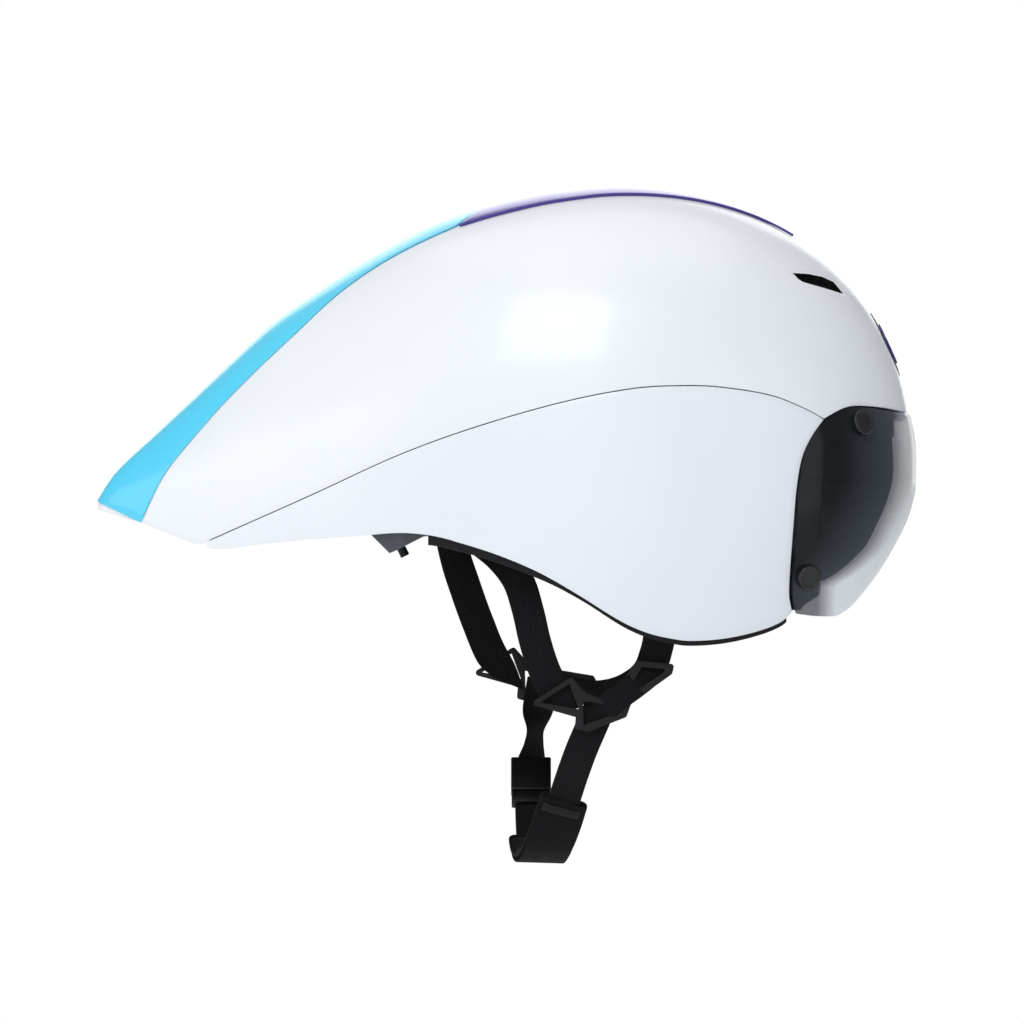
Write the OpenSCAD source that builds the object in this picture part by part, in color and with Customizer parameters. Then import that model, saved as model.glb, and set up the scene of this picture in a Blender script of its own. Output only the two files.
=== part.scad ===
// Aero time trial helmet, in millimetres.
// The origin is the centre of the head on the head-band plane.
// +X is forwards, +Y is to the wearer's left, +Z is up.

/* [Shell] */
// Length from the front of the visor to the tip of the tail
shell_l = 411; // [360:1:440]
// Distance from the head's centre to the front of the visor
front_reach = 129; // [120:1:138]
// Width at the widest place
shell_w = 204; // [196:1:220]
// Height of the crown above the head-band plane
crown_h = 120.5; // [114:0.5:130]
// Depth of the ear covers below the head-band plane
cover_drop = 105.5; // [96:0.5:116]
// Thickness of the outer shells
shell_t = 1.6; // [1.2:0.1:2]
// Clearance between two layers that follow each other
layer_gap = 0.3; // [0.2:0.05:0.5]
// Width of the seam between the upper and the lower shells
seam_gap = 0.6; // [0.4:0.1:1.2]
// Thickness of the coloured film on the tail
film_t = 0.4; // [0.3:0.05:0.8]
// Thickness of the crown cover
cover_t = 1.2; // [0.8:0.1:2]
// Most that the edge trim shows below the shell
trim_show = 5; // [4:0.5:6]

/* [Liner] */
// Length of the room inside the foam, with the hollow in the tail
room_l = 310; // [290:1:320]
// Distance from the head's centre to the foam at the forehead
room_front = 98; // [94:1:101]
// Width of the room inside the foam
room_w = 158; // [150:1:162]
// Height of the room above the head-band plane
room_h = 89; // [84:0.5:93]
// Depth of the pockets for the ears
ear_pocket = 6; // [3:0.5:7]
// Thickness of the comfort pads
pad_t = 5; // [4:0.5:6]

/* [Visor] */
// Thickness of the lens
lens_t = 2; // [1.6:0.1:2.4]
// Clearance between the lens and its seat
lens_gap = 0.4; // [0.3:0.05:0.6]
// Thickness of the seat that the lens lies on
seat_t = 2.4; // [2.2:0.1:2.8]
// Thickness of the side shades
shade_t = 1.2; // [0.8:0.1:1.6]
// Diameter of the magnet caps
cap_d = 12.6; // [12:0.2:14]
// Height of the magnet caps above the lens
cap_h = 3; // [2.4:0.1:3.6]
// Diameter of the magnets
magnet_d = 8; // [6:0.5:8.5]
// Thickness of the magnets
magnet_t = 2; // [1.6:0.1:2.4]

/* [Straps] */
// Width of the webbing
web_w = 16; // [14:0.5:17]
// Thickness of the webbing
web_t = 1.3; // [1:0.1:1.5]
// Depth of the chin pad below the head-band plane
chin_drop = 216; // [206:1:230]
// Half the distance between the straps where they leave the liner
strap_spread = 73; // [70:0.5:74]
// Thickness of the chin pad
chin_pad_t = 5; // [4:0.5:6]
// Thickness of the strap dividers
guide_t = 2.4; // [2:0.1:3]

/* [Fit system] */
// Diameter of the fit dial
dial_d = 22; // [18:0.5:24]
// Thickness of the fit dial
dial_t = 6; // [5:0.5:7]
// Width of the cradle that holds the nape
cradle_w = 56; // [50:1:60]
// Height of the head belts
belt_w = 12; // [10:0.5:13]
// Thickness of the head belts
belt_t = 1.2; // [1:0.1:1.6]
// Pitch radius of the pinion that drives the racks
pinion_r = 4; // [3.6:0.1:4.4]
// Diameter of the release button
button_d = 4.6; // [4:0.1:5]
// Length of the release button outside the cradle
button_out = 4.7; // [4:0.1:5.5]

/* [Hidden] */

$fn = 48;
cut = 1;                     // overrun of every cut
fit_gap = 0.3;               // clearance of a piece in its pocket
slide_gap = 0.4;             // clearance round a sliding piece
turn_gap = 0.05;             // radial running clearance of a shaft
tiny = 0.001;                // shortest distance that still has a direction
probe = 1;                   // distance over which a slope is measured

// The outer surface
tail_reach = shell_l - front_reach;
half_w = shell_w / 2;
lens_reach_share = 0.3674;
crown_x = front_reach - lens_reach_share * shell_l;
lens_proud = 4;              // how far the lens stands out in front of the shell
waist_share = 0.083;
waist_z = -waist_share * crown_h;
tail_waist_share = 0.38;
tail_waist_z = -tail_waist_share * cover_drop;
lens_waist_share = 0.125;
lens_top_share = 0.68;
side_drop_share = 1.7;
side_drop = side_drop_share * cover_drop;
room_drop_share = 4;
power_side = 2.08;           // roundness of the side view
power_front = 2.2;           // roundness of the plan and of the sections

// Outlines in the side view: the first number is the share of the length from the tip of the tail
top_share = [[0, -0.315], [0.024, -0.187], [0.073, -0.025], [0.122, 0.133], [0.17, 0.29], [0.219, 0.443],
             [0.268, 0.56], [0.316, 0.667], [0.365, 0.765], [0.414, 0.848], [0.462, 0.905],
             [0.511, 0.948], [0.56, 0.979], [0.633, 1], [0.706, 0.979]];
width_share = [[0, 0.03], [0.03, 0.1], [0.078, 0.2], [0.15, 0.335], [0.25, 0.52], [0.35, 0.7],
               [0.45, 0.855], [0.54, 0.955], [0.633, 1], [0.726, 0.955]];
tail_end_share = [[0, -0.33], [0.055, -0.384], [0.123, -0.478]];
seam_share = [[0.123, -0.478], [0.26, -0.27], [0.369, -0.1], [0.467, 0.021], [0.575, 0.1245],
              [0.658, 0.177], [0.719, 0.187], [0.76, 0.181], [0.822, 0.146], [0.863, 0.091],
              [0.886, 0.048]];
low_share = [[0.123, -0.546], [0.15, -0.564], [0.19, -0.545], [0.25, -0.521], [0.32, -0.502],
             [0.37, -0.488], [0.41, -0.502], [0.443, -0.5355], [0.4915, -0.597], [0.54, -0.678],
             [0.589, -0.787], [0.6375, -0.905], [0.67, -0.962], [0.7, -0.99], [0.72, -1],
             [0.76, -0.99], [0.8, -0.957], [0.832, -0.91], [0.847, -0.8626]];
brow_share = [[0.886, 0.048], [0.904, 0.083], [0.9185, 0.0996], [0.942, 0.0996], [0.966, 0.089],
              [0.989, 0.072], [1.01, 0.065]];
// The rear edge of the port, from its upper corner down: the share of the drop, then of the length
port_share = [[-0.1, 0.9], [0, 0.886], [0.0654, 0.8735], [0.164, 0.8607], [0.3036, 0.854],
              [0.488, 0.8504], [0.6855, 0.8473], [0.802, 0.8467], [0.865, 0.8504], [0.92, 0.853]];
corner_share = 0.886;
cover_end_share = 0.847;
tail_corner_share = 0.135;
film_low_share = [[0.055, -0.384], [0.074, -0.243], [0.089, -0.158], [0.117, -0.041], [0.155, 0.106],
                  [0.198, 0.254], [0.244, 0.402], [0.291, 0.551], [0.3375, 0.667], [0.384, 0.757],
                  [0.4385, 0.842], [0.48, 0.9]];
leaf_share = [[0.4, 0.27], [0.4385, 0.285], [0.5, 0.3], [0.575, 0.295], [0.65, 0.27], [0.72, 0.22],
              [0.78, 0.15], [0.82, 0.08], [0.85, 0.012]];
leaf_rear_share = 0.467;
leaf_sweep_share = 0.0285;
leaf_front_share = 0.847;

// The room inside the foam
room_back = room_l - room_front;
room_crown_share = 0.05;
room_crown_x = -room_crown_share * room_front;
room_waist_share = 0.11;
room_waist_z = -room_waist_share * room_h;
room_top_share = [[0, -0.6], [0.057, -0.225], [0.155, 0.056], [0.3, 0.36], [0.444, 0.63], [0.59, 0.83],
                  [0.734, 0.944], [0.88, 0.994], [1, 1], [1.12, 0.994]];
room_width_share = [[0, 0.1], [0.106, 0.25], [0.25, 0.43], [0.4, 0.61], [0.555, 0.835], [0.734, 0.962],
                    [1, 1], [1.2, 0.962]];

// Numbers of steps across the surfaces
shell_steps = 34;
arch_steps = 12;
rise_steps = 8;
crown_split_share = 0.55;    // the ribs behind the crown's top
front_turn = 82;             // angle over which the ribs in front of it are spread

function lerp(a, b, s) = a + (b - a) * s;
// Where a rib meets the middle plane: evenly behind the top, and by its angle in front of it
function rib_top(c, from_x, mid_x, to_x) =
    c < crown_split_share ? lerp(from_x, mid_x, c / crown_split_share)
    : lerp(mid_x, to_x, sin(front_turn * (c - crown_split_share) / (1 - crown_split_share)) / sin(front_turn));
function smooth(s) = let(c = min(1, max(0, s))) c * c * (3 - 2 * c);
function span_of(t, x, i = 0) = i >= len(t) - 2 || x < t[i + 1][0] ? i : span_of(t, x, i + 1);
function slope_at(t, i) =
    let(a = max(i - 1, 0), b = min(i + 1, len(t) - 1))
    (t[b][1] - t[a][1]) / (t[b][0] - t[a][0]);
// A smooth curve through the rows of a table
function curve(t, x) =
    let(i = span_of(t, x), h = t[i + 1][0] - t[i][0], s = (x - t[i][0]) / h,
        m0 = slope_at(t, i) * h, m1 = slope_at(t, i + 1) * h, s2 = s * s, s3 = s2 * s)
    (2 * s3 - 3 * s2 + 1) * t[i][1] + (s3 - 2 * s2 + s) * m0
    + (3 * s2 - 2 * s3) * t[i + 1][1] + (s3 - s2) * m1;
function at_len(u) = u * shell_l - tail_reach;
function len_share(x) = (x + tail_reach) / shell_l;
function round_side(r) = pow(max(0, 1 - pow(max(0, r), power_front)), 1 / power_front);

// A body is [crown x, reach, waist z, top, drop, half width]
shell_form = [crown_x, front_reach - lens_proud - crown_x, waist_z, crown_h, side_drop, half_w];
lens_form = [crown_x, front_reach - crown_x, -lens_waist_share * cover_drop, lens_top_share * crown_h,
             side_drop, half_w];
room_form = [room_crown_x, room_front - room_crown_x, room_waist_z, room_h,
             room_drop_share * cover_drop, room_w / 2];
function level(f, z) = z > f[2] ? (z - f[2]) / (f[3] - f[2]) : (f[2] - z) / f[4];
// Half the width of a body's front half at a place in the side view
function front_y(f, x, z) =
    let(r = pow(pow(max(0, x - f[0]) / f[1], power_side) + pow(level(f, z), power_side), 1 / power_side))
    f[5] * round_side(r);
// How far forward a body reaches at a place in the front view
function front_x(f, y, z) =
    let(r = round_side(abs(y) / f[5]))
    f[0] + f[1] * pow(max(0, pow(r, power_side) - pow(level(f, z), power_side)), 1 / power_side);
// How high a body reaches at a place in the plan
function front_z(f, x, y) =
    let(r = round_side(abs(y) / f[5]), s = max(0, x - f[0]) / f[1])
    f[2] + (f[3] - f[2]) * pow(max(0, pow(r, power_side) - pow(s, power_side)), 1 / power_side);
function front_top(f, x) =
    f[2] + (f[3] - f[2]) * pow(max(0, 1 - pow(max(0, x - f[0]) / f[1], power_side)), 1 / power_side);

function shell_top(x) =
    x > crown_x ? front_top(shell_form, x) : crown_h * curve(top_share, len_share(x));
function shell_waist(x) = lerp(waist_z, tail_waist_z, smooth((crown_x - x) / (crown_x + tail_reach)));
function shell_y(x, z) =
    x > crown_x ? front_y(shell_form, x, z)
    : let(m = shell_waist(x), w = half_w * curve(width_share, len_share(x)))
      w * round_side(z > m ? (z - m) / (shell_top(x) - m) : (m - z) / side_drop);
function shell_z(x, y) =
    x > crown_x ? front_z(shell_form, x, y)
    : let(m = shell_waist(x), w = half_w * curve(width_share, len_share(x)))
      m + (shell_top(x) - m) * round_side(abs(y) / w);
function room_place(x) = (x + room_back) / (room_back + room_crown_x);
function room_top(x) =
    x > room_crown_x ? front_top(room_form, x) : room_h * curve(room_top_share, room_place(x));
function ear_bump(x, z) =
    ear_pocket * exp(-pow((x - ear_share * room_front) / (ear_wide_share * room_front), 2)
                     - pow((z + ear_low_share * room_h) / (ear_wide_share * room_front), 2));
ear_share = 0.05;
ear_low_share = 0.5;
ear_wide_share = 0.32;
function room_side_y(x, z) =
    x > room_crown_x ? front_y(room_form, x, z)
    : let(m = lerp(room_waist_z, tail_waist_z, smooth((room_crown_x - x) / room_back)),
          w = room_w / 2 * curve(room_width_share, room_place(x)))
      w * round_side(z > m ? (z - m) / (room_top(x) - m) : 0);
function room_y(x, z) = room_side_y(x, z) + ear_bump(x, z);
function room_z(x, y) =
    x > room_crown_x ? front_z(room_form, x, y)
    : let(m = lerp(room_waist_z, tail_waist_z, smooth((room_crown_x - x) / room_back)),
          w = room_w / 2 * curve(room_width_share, room_place(x)))
      m + (room_top(x) - m) * round_side(abs(y) / w);

function brow_z(x) = crown_h * curve(brow_share, len_share(x));
function seam_z(x) = crown_h * curve(seam_share, len_share(x));
function low_z(x) = cover_drop * curve(low_share, len_share(x));
function tail_end_z(x) = crown_h * lookup(len_share(x), tail_end_share);
function upper_edge_z(x) = len_share(x) < tail_end_share[2][0] ? tail_end_z(x) : seam_z(x);
corner_z = crown_h * seam_share[len(seam_share) - 1][1];
corner_x = at_len(corner_share);
function port_x(z) = at_len(curve(port_share, (corner_z - z) / (corner_z + cover_drop)));
front_tip_z = crown_h * brow_share[5][1];
front_tip_x = front_x(shell_form, 0, front_tip_z);

// The normal of a grid of points at one of its points
function step_along(g, i, j) =
    let(a = max(i - 1, 0), b = min(i + 1, len(g) - 1)) g[b][j] - g[a][j];
function step_across(g, i, j) =
    let(a = max(j - 1, 0), b = min(j + 1, len(g[i]) - 1)) g[i][b] - g[i][a];
function normal_at(g, i, j) =
    let(n = cross(step_along(g, i, j), step_across(g, i, j)), m = norm(n))
    m < tiny * tiny ? [0, 0, 1] : n / m;
function raised(g, d) =
    [for (i = [0:len(g) - 1]) [for (j = [0:len(g[i]) - 1]) g[i][j] + normal_at(g, i, j) * d]];
function raised_by(g, d) =
    [for (i = [0:len(g) - 1]) [for (j = [0:len(g[i]) - 1]) g[i][j] + normal_at(g, i, j) * d[i][j]]];
function flat_list(g) = [for (c = g) for (p = c) p];

// A closed solid between two grids, the first on the side that the normals point to
module between(o, n) {
    nc = len(o);
    nr = len(o[0]);
    total = nc * nr;
    polyhedron(concat(flat_list(o), flat_list(n)), concat(
        [for (i = [0:nc - 2]) for (j = [0:nr - 2]) each
            let(a = i * nr + j, b = a + 1, c = a + nr + 1, d = a + nr)
            [[a, b, c], [a, c, d], [a + total, c + total, b + total], [a + total, d + total, c + total]]],
        [for (i = [0:nc - 2]) each
            let(a = i * nr, b = a + nr, c = a + nr - 1, d = b + nr - 1)
            [[a, b, b + total], [a, b + total, a + total], [d, c, c + total], [d, c + total, d + total]]],
        [for (j = [0:nr - 2]) each
            let(a = j, b = j + 1, c = (nc - 1) * nr + j, d = c + 1)
            [[b, a, a + total], [b, a + total, b + total], [c, d, d + total], [c, d + total, c + total]]]));
}
module sheet(g, low, high) {
    between(raised(g, high), raised(g, low));
}
module left() {
    mirror([0, 1, 0]) children();
}
// Both halves of a row of points that ends on the middle plane
function both_sides(r) =
    concat(r, [for (j = [len(r) - 2:-1:0]) [r[j][0], -r[j][1], r[j][2]]]);

// A point of the right half between a lower edge and the middle of the crown
function arch_point(s, xb, zb, xt, bend) =
    let(x = lerp(xb, xt, s), z = lerp(zb, shell_top(xt), s) + bend) [x, s == 1 ? 0 : -shell_y(x, z), z];
function brow_bend(s) =
    brow_z(lerp(corner_x, front_tip_x, s)) - lerp(corner_z, front_tip_z, s);
function arch_share(j) = sin(90 * j / arch_steps);
tip_share = 0.003;
edge_power = 8;              // how soon the ribs begin to follow the front edge
upper_grid = [for (i = [0:shell_steps])
    let(c = i / shell_steps, xb = at_len(lerp(tip_share, corner_share, c)),
        xt = rib_top(c, at_len(tip_share), crown_x, front_tip_x))
    both_sides([for (j = [0:arch_steps]) let(s = arch_share(j))
        arch_point(s, xb, upper_edge_z(xb), xt, pow(c, edge_power) * brow_bend(s))])];

// The forehead slots and their ducts
slot_share = [[0.8475, 0.6515], [0.8674, 0.6473], [0.884, 0.635], [0.8973, 0.614], [0.9094, 0.564],
              [0.886, 0.589], [0.86, 0.614], [0.8545, 0.6266]];
slot_in_share = 0.24;
duct_from_share = [0.886, -0.4, 0.61];
duct_from = [at_len(duct_from_share[0]), duct_from_share[1] * half_w, duct_from_share[2] * crown_h];
module forehead_slots() {
    for (m = [0, 1]) mirror([0, m, 0])
        translate([0, -slot_in_share * half_w, 0]) rotate([90, 0, 0])
            linear_extrude(half_w) polygon([for (p = slot_share) [at_len(p[0]), crown_h * p[1]]]);
}
module forehead_ducts() {
    for (m = [0, 1]) mirror([0, m, 0])
        translate(duct_from) rotate([0, -duct_pitch, -duct_yaw])
            translate([-duct_l, -duct_w / 2, -duct_h / 2])
            cube([duct_l, duct_w, duct_h]);
}
duct_l = 70;                 // length of a duct
duct_w = 16;                 // width of a duct
duct_h = 7;                  // height of a duct
duct_pitch = 22;
duct_yaw = 20;

// The leaf-shaped insert in the middle of the brow
vent_mid_share = 0.355;
vent_half_share = 0.131;
vent_wide_share = 0.125;
vent_mid_z = vent_mid_share * crown_h;
vent_half_h = vent_half_share * crown_h;
vent_half_w = vent_wide_share * half_w;
frame_deep = 5;              // depth of the insert below the shell
frame_proud = 0.6;           // height of the insert above the shell
vent_gap = 0.45;             // clearance round the insert
plate_t = 1;                 // thickness of the plate on the insert
plate_share = 0.62;
frame_draft_share = 0.93;    // how much smaller the insert is at its back
leaf_power = 0.7;            // how full the outline of the insert is
vent_steps = 8;
vent_rows = 5;
vent_reach_share = 0.985;
function leaf_half(t) = pow(max(0, 1 - t * t), leaf_power);
function vent_outline(k) = concat(
    [for (i = [-vent_steps:vent_steps]) let(t = i / vent_steps)
        [k * vent_half_w * leaf_half(t), vent_mid_z + k * vent_half_h * t]],
    [for (i = [vent_steps - 1:-1:1 - vent_steps]) let(t = i / vent_steps)
        [-k * vent_half_w * leaf_half(t), vent_mid_z + k * vent_half_h * t]]);
function vent_grid(k) = [for (i = [-vent_rows:vent_rows]) [for (j = [-vent_steps:vent_steps])
    let(t = j / vent_steps * vent_reach_share, y = i / vent_rows * k * vent_half_w * leaf_half(t), z = vent_mid_z + k * vent_half_h * t)
    [front_x(shell_form, y, z), y, z]]];
module vent_prism(k, from_x) {
    translate([from_x, 0, 0]) rotate([90, 0, 90]) linear_extrude(shell_l) polygon(vent_outline(k));
}

// Upper shell
module upper_shell() {
    color([0.91, 0.94, 0.97]) difference() {
        sheet(upper_grid, -shell_t, 0);
        forehead_slots();
        vent_prism(1 + vent_gap / vent_half_w, crown_x);
    }
}

// Lower shells
port_low_x = port_x(low_z(at_len(cover_end_share)));
function lower_point(u, v) =
    let(xb = at_len(lerp(tail_corner_share, cover_end_share, u)),
        xt = at_len(lerp(tail_corner_share, corner_share, u)),
        z = lerp(low_z(xb), seam_z(xt) - seam_gap, v),
        x = lerp(xb, xt, v)
            + pow(u, edge_power) * (port_x(min(z, corner_z)) - lerp(port_low_x, corner_x, v)))
    [x, -shell_y(x, z), z];
// The columns of the lower shell meet those of the upper shell along the seam
seam_from = 5;
seam_place = concat([0], [for (i = [seam_from:shell_steps])
    (lerp(tip_share, corner_share, i / shell_steps) - tail_corner_share)
    / (corner_share - tail_corner_share)]);
lower_grid = [for (u = seam_place) [for (j = [0:rise_steps]) lower_point(u, j / rise_steps)]];
module lower_shell_right() {
    color([0.89, 0.92, 0.95]) sheet(lower_grid, -shell_t, 0);
}
module lower_shell_left() {
    left() lower_shell_right();
}

// Film over the tail, and the cover over the crown
film_steps = 20;
film_gap = 0.5;              // clearance between the film and the shell
film_rows = 7;
film_grid = [for (i = [0:film_steps])
    let(c = i / film_steps, xb = at_len(lerp(film_low_share[0][0], leaf_rear_share - leaf_sweep_share, c)),
        xt = at_len(lerp(tip_share, leaf_rear_share, c)))
    both_sides([for (j = [0:film_rows])
        arch_point(sin(90 * j / film_rows), xb, crown_h * curve(film_low_share, len_share(xb)), xt, 0)])];
module tail_film() {
    color([0.42, 0.86, 0.97]) sheet(film_grid, film_gap, film_gap + film_t);
}
cover_steps = 14;
cover_gap_share = 0.004;
cover_grid = [for (i = [0:cover_steps]) [for (j = [-6:6])
    let(s = j / 6, c = i / cover_steps,
        rear = leaf_rear_share + cover_gap_share - leaf_sweep_share * s * s,
        x = at_len(lerp(rear, leaf_front_share, c)), y = s * half_w * curve(leaf_share, len_share(x)))
    [x, y, shell_z(x, y)]]];
module crown_cover() {
    color([0.42, 0.38, 0.74]) sheet(cover_grid, layer_gap, layer_gap + cover_t);
}

// Insert in the middle of the brow
module brow_vent_frame() {
    color([0.08, 0.08, 0.1])
        between(raised(vent_grid(1), frame_proud), raised(vent_grid(frame_draft_share), -frame_deep));
}
module brow_vent_plate() {
    color([0.42, 0.38, 0.74])
        sheet(vent_grid(plate_share), frame_proud + layer_gap, frame_proud + layer_gap + plate_t);
}

// Foam liner
port_lap = 7.5;              // how far the foam stays behind the edge of the port
seat_root = 6;               // width of the seat under the shell
frame_back = 3;              // room behind the insert
foam_lift = 3.4;              // height of the foam's edge above the shell's edge
foam_deep = 3.6;             // how much deeper the foam lies where the seat is let in
foam_gap = 0.7;              // clearance between the shells and the foam
split_share = 0.78;
foam_tail_share = 0.05;
foam_top_share = 0.03;
foam_sill_share = 0.06;
foam_end_x = at_len(cover_end_share) - port_lap;
foam_brow_z = front_tip_z + port_lap;
foam_brow_x = front_x(shell_form, 0, foam_brow_z);
function foam_edge_z(x) = (len_share(x) < low_share[0][0] ? tail_end_z(x) : low_z(x)) + foam_lift;
function foam_low(c, from_x) =
    c <= split_share
    ? let(x = lerp(from_x, foam_end_x, c / split_share)) [x, foam_edge_z(x)]
    : let(k = (c - split_share) / (1 - split_share),
          z = lerp(foam_edge_z(foam_end_x), corner_z + foam_sill_share * cover_drop, k))
      [lerp(foam_end_x, port_x(z) - port_lap, smooth(k * 4)), z];
function near_port(x, z) =
    smooth((x - port_x(min(z, corner_z)) + seat_root + port_lap) / port_lap)
    * (z < corner_z ? 1 : smooth((brow_z(max(x, corner_x)) + seat_root + port_lap - z) / port_lap));
foam_line = [for (i = [0:shell_steps]) let(c = i / shell_steps) foam_low(c, at_len(foam_tail_share))];
foam_skin = [for (i = [0:shell_steps])
    let(c = i / shell_steps, b = foam_line[i], xt = rib_top(c, at_len(foam_top_share), crown_x, foam_brow_x))
    both_sides([for (j = [0:arch_steps]) let(s = arch_share(j))
        arch_point(s, b[0], b[1], xt, pow(c, edge_power) * brow_bend(s))])];
// The normal of the shell's surface at a point on it
function skin_normal(p) =
    let(n = [shell_y(p[0] - probe, p[2]) - shell_y(p[0] + probe, p[2]), 2 * probe * sign(p[1]),
             shell_y(p[0], p[2] - probe) - shell_y(p[0], p[2] + probe)]) n / norm(n);
foam_outer = [for (r = foam_skin) [for (p = r)
    p - skin_normal(p) * (shell_t + foam_gap + foam_deep * near_port(p[0], p[2]))]];
room_brow_x = front_x(room_form, 0, foam_brow_z);
foam_room = [for (i = [0:shell_steps])
    let(c = i / shell_steps, b = foam_low(c, -room_back + port_lap),
        xt = rib_top(c, -room_back, room_crown_x, room_brow_x),
        zt = c == 1 ? foam_brow_z : room_top(xt))
    both_sides([for (j = [0:arch_steps])
        let(s = arch_share(j), x = lerp(b[0], xt, s),
            z = lerp(b[1], zt, s) + pow(c, edge_power) * brow_bend(s))
        [x, s == 1 ? 0 : -room_y(x, z), z]])];
// The liner is moulded in four parts, which meet on the middle plane and behind the crown
liner_split_share = 0.25;
liner_split_x = -liner_split_share * room_back;
foam_colour = [0.13, 0.13, 0.14];
module whole_liner() {
    difference() {
        between(foam_outer, foam_room);
        forehead_slots();
        forehead_ducts();
        vent_prism(1 + vent_gap / vent_half_w, front_x(shell_form, 0, vent_mid_z + vent_half_h) - frame_deep
                   - frame_back);
        for (a = anchor_places) anchor_bore(a);
        for (m = [0, 1]) mirror([0, m, 0]) belt_pin_hole(pin_bore_l);
        bracket_screw_places() cylinder(h = screw_l + fit_gap, d = screw_d + 2 * turn_gap);
    }
}
module liner_part(from_x, from_y) {
    color(foam_colour) intersection() {
        whole_liner();
        translate([from_x, from_y, -shell_l]) cube([shell_l, shell_w, 2 * shell_l]);
    }
}
module foam_front_right() {
    liner_part(liner_split_x, -shell_w);
}
module foam_front_left() {
    liner_part(liner_split_x, 0);
}
module foam_rear_right() {
    liner_part(liner_split_x - shell_l, -shell_w);
}
module foam_rear_left() {
    liner_part(liner_split_x - shell_l, 0);
}

// Edge trims
trim_steps = 26;
trim_from_share = 0.404;
trim_to_share = 0.84;
trim_lap = 1;                // height of the trim inside the shell
trim_show_share = [[0.404, 1], [0.45, 0.85], [0.53, 0.76], [0.57, 0.5], [0.605, 0.4], [0.65, 0.54],
                   [0.75, 0.6], [0.84, 0.6]];
trim_round_share = 0.3;
trim_rows = [for (i = [0:trim_steps])
    let(x = at_len(lerp(trim_from_share, trim_to_share, i / trim_steps)), show = trim_show
        * curve(trim_show_share, len_share(x)), z = low_z(x), out = shell_t + 2 * layer_gap)
    [[x, shell_y(x, z) - out, z + trim_lap], [x, room_y(x, z) + layer_gap, z + trim_lap],
     [x, shell_y(x, z - show) - out - trim_round_share * show, z - show],
     [x, room_y(x, z) + layer_gap + trim_round_share * show, z - show]]];
function flip(p) = [p[0], -p[1], p[2]];
module edge_trim_right() {
    color([0.06, 0.06, 0.07])
        between([for (r = trim_rows) [flip(r[0]), flip(r[1])]],
                [for (r = trim_rows) [flip(r[2]), flip(r[3])]]);
}
module edge_trim_left() {
    left() edge_trim_right();
}

// Visor: places on the lens by its share across, from -1 to 1, and by its share upwards
lens_low_share = [[0, -0.256], [0.12, -0.284], [0.22, -0.351], [0.3, -0.424], [0.37, -0.48], [0.44, -0.545],
                  [0.507, -0.616], [0.572, -0.687], [0.641, -0.758], [0.715, -0.829], [0.78, -0.867], [0.82, -0.8815],
                  [0.93, -0.8815], [1, -0.872]];
lens_high_share = [[0, 0.0655], [0.3, 0.07], [0.615, 0.082], [0.776, 0.093], [0.885, 0.093],
                   [0.96, 0.076], [1, 0.0415]];
lens_margin = 0.8;           // gap between the lens and the shell's edge
function lens_side(z) = front_y(lens_form, port_x(z) + lens_margin, z);
function lens_high_z(s) = crown_h * curve(lens_high_share, abs(s));
function lens_low_z(s) = cover_drop * curve(lens_low_share, abs(s));
function lens_point(s, t) =
    let(z = lerp(lens_low_z(s), lens_high_z(s), t), y = s * lens_side(z)) [front_x(lens_form, y, z), y, z];
lens_steps = 20;
lens_rows = 9;
lens_grid = [for (i = [-lens_steps:lens_steps]) [for (j = [0:lens_rows])
    lens_point(sin(90 * i / lens_steps), j / lens_rows)]];

// Places of the magnets on the right side of the lens
magnet_share = [[0.9307, 0.029], [0.866, -0.61]];
magnet_x = [at_len(magnet_share[0][0]), at_len(magnet_share[1][0])];
magnet_z = [crown_h * magnet_share[0][1], crown_h * magnet_share[1][1]];
function lens_at(x, z) = [x, -front_y(lens_form, x, z), z];
function lens_normal(x, z) =
    let(n = cross(lens_at(x + probe, z) - lens_at(x - probe, z),
                  lens_at(x, z + probe) - lens_at(x, z - probe))) n / norm(n);
// Puts its children on the lens at each magnet, with Z outwards
module at_magnets() {
    for (m = [0, 1]) mirror([0, m, 0]) for (k = [0, 1])
        let(n = lens_normal(magnet_x[k], magnet_z[k]))
        translate(lens_at(magnet_x[k], magnet_z[k])) rotate([0, acos(n[2]), atan2(n[1], n[0])]) children();
}
cap_wall = 0.8;              // wall round a magnet
stem_d = magnet_d + 2 * cap_wall;
cap_chamfer = 0.6;           // chamfer of a cap
disc_t = 1.2;                // thickness of a strike disc
module visor_lens() {
    color([0.62, 0.68, 0.76, 0.5]) difference() {
        sheet(lens_grid, -lens_t, 0);
        at_magnets() translate([0, 0, -lens_t - cut])
            cylinder(h = lens_t + 2 * cut, d = stem_d + 2 * fit_gap);
    }
}
module magnet_caps() {
    color([0.07, 0.07, 0.08]) at_magnets() difference() {
        union() {
            cylinder(h = cap_h - cap_chamfer, d = cap_d);
            translate([0, 0, cap_h - cap_chamfer])
                cylinder(h = cap_chamfer, d1 = cap_d, d2 = cap_d - 2 * cap_chamfer);
            translate([0, 0, -lens_t]) cylinder(h = lens_t, d = stem_d);
        }
        translate([0, 0, -lens_t - cut]) cylinder(h = magnet_t + fit_gap + cut, d = magnet_d + 2 * turn_gap);
    }
}
module visor_magnets() {
    color([0.7, 0.7, 0.72]) at_magnets() translate([0, 0, -lens_t]) cylinder(h = magnet_t, d = magnet_d);
}
module strike_discs() {
    color([0.62, 0.63, 0.65]) at_magnets()
        translate([0, 0, -lens_t - lens_gap - fit_gap - disc_t]) cylinder(h = disc_t, d = magnet_d);
}

seat_w = 13.5;               // width of the seat inside the port

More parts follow.
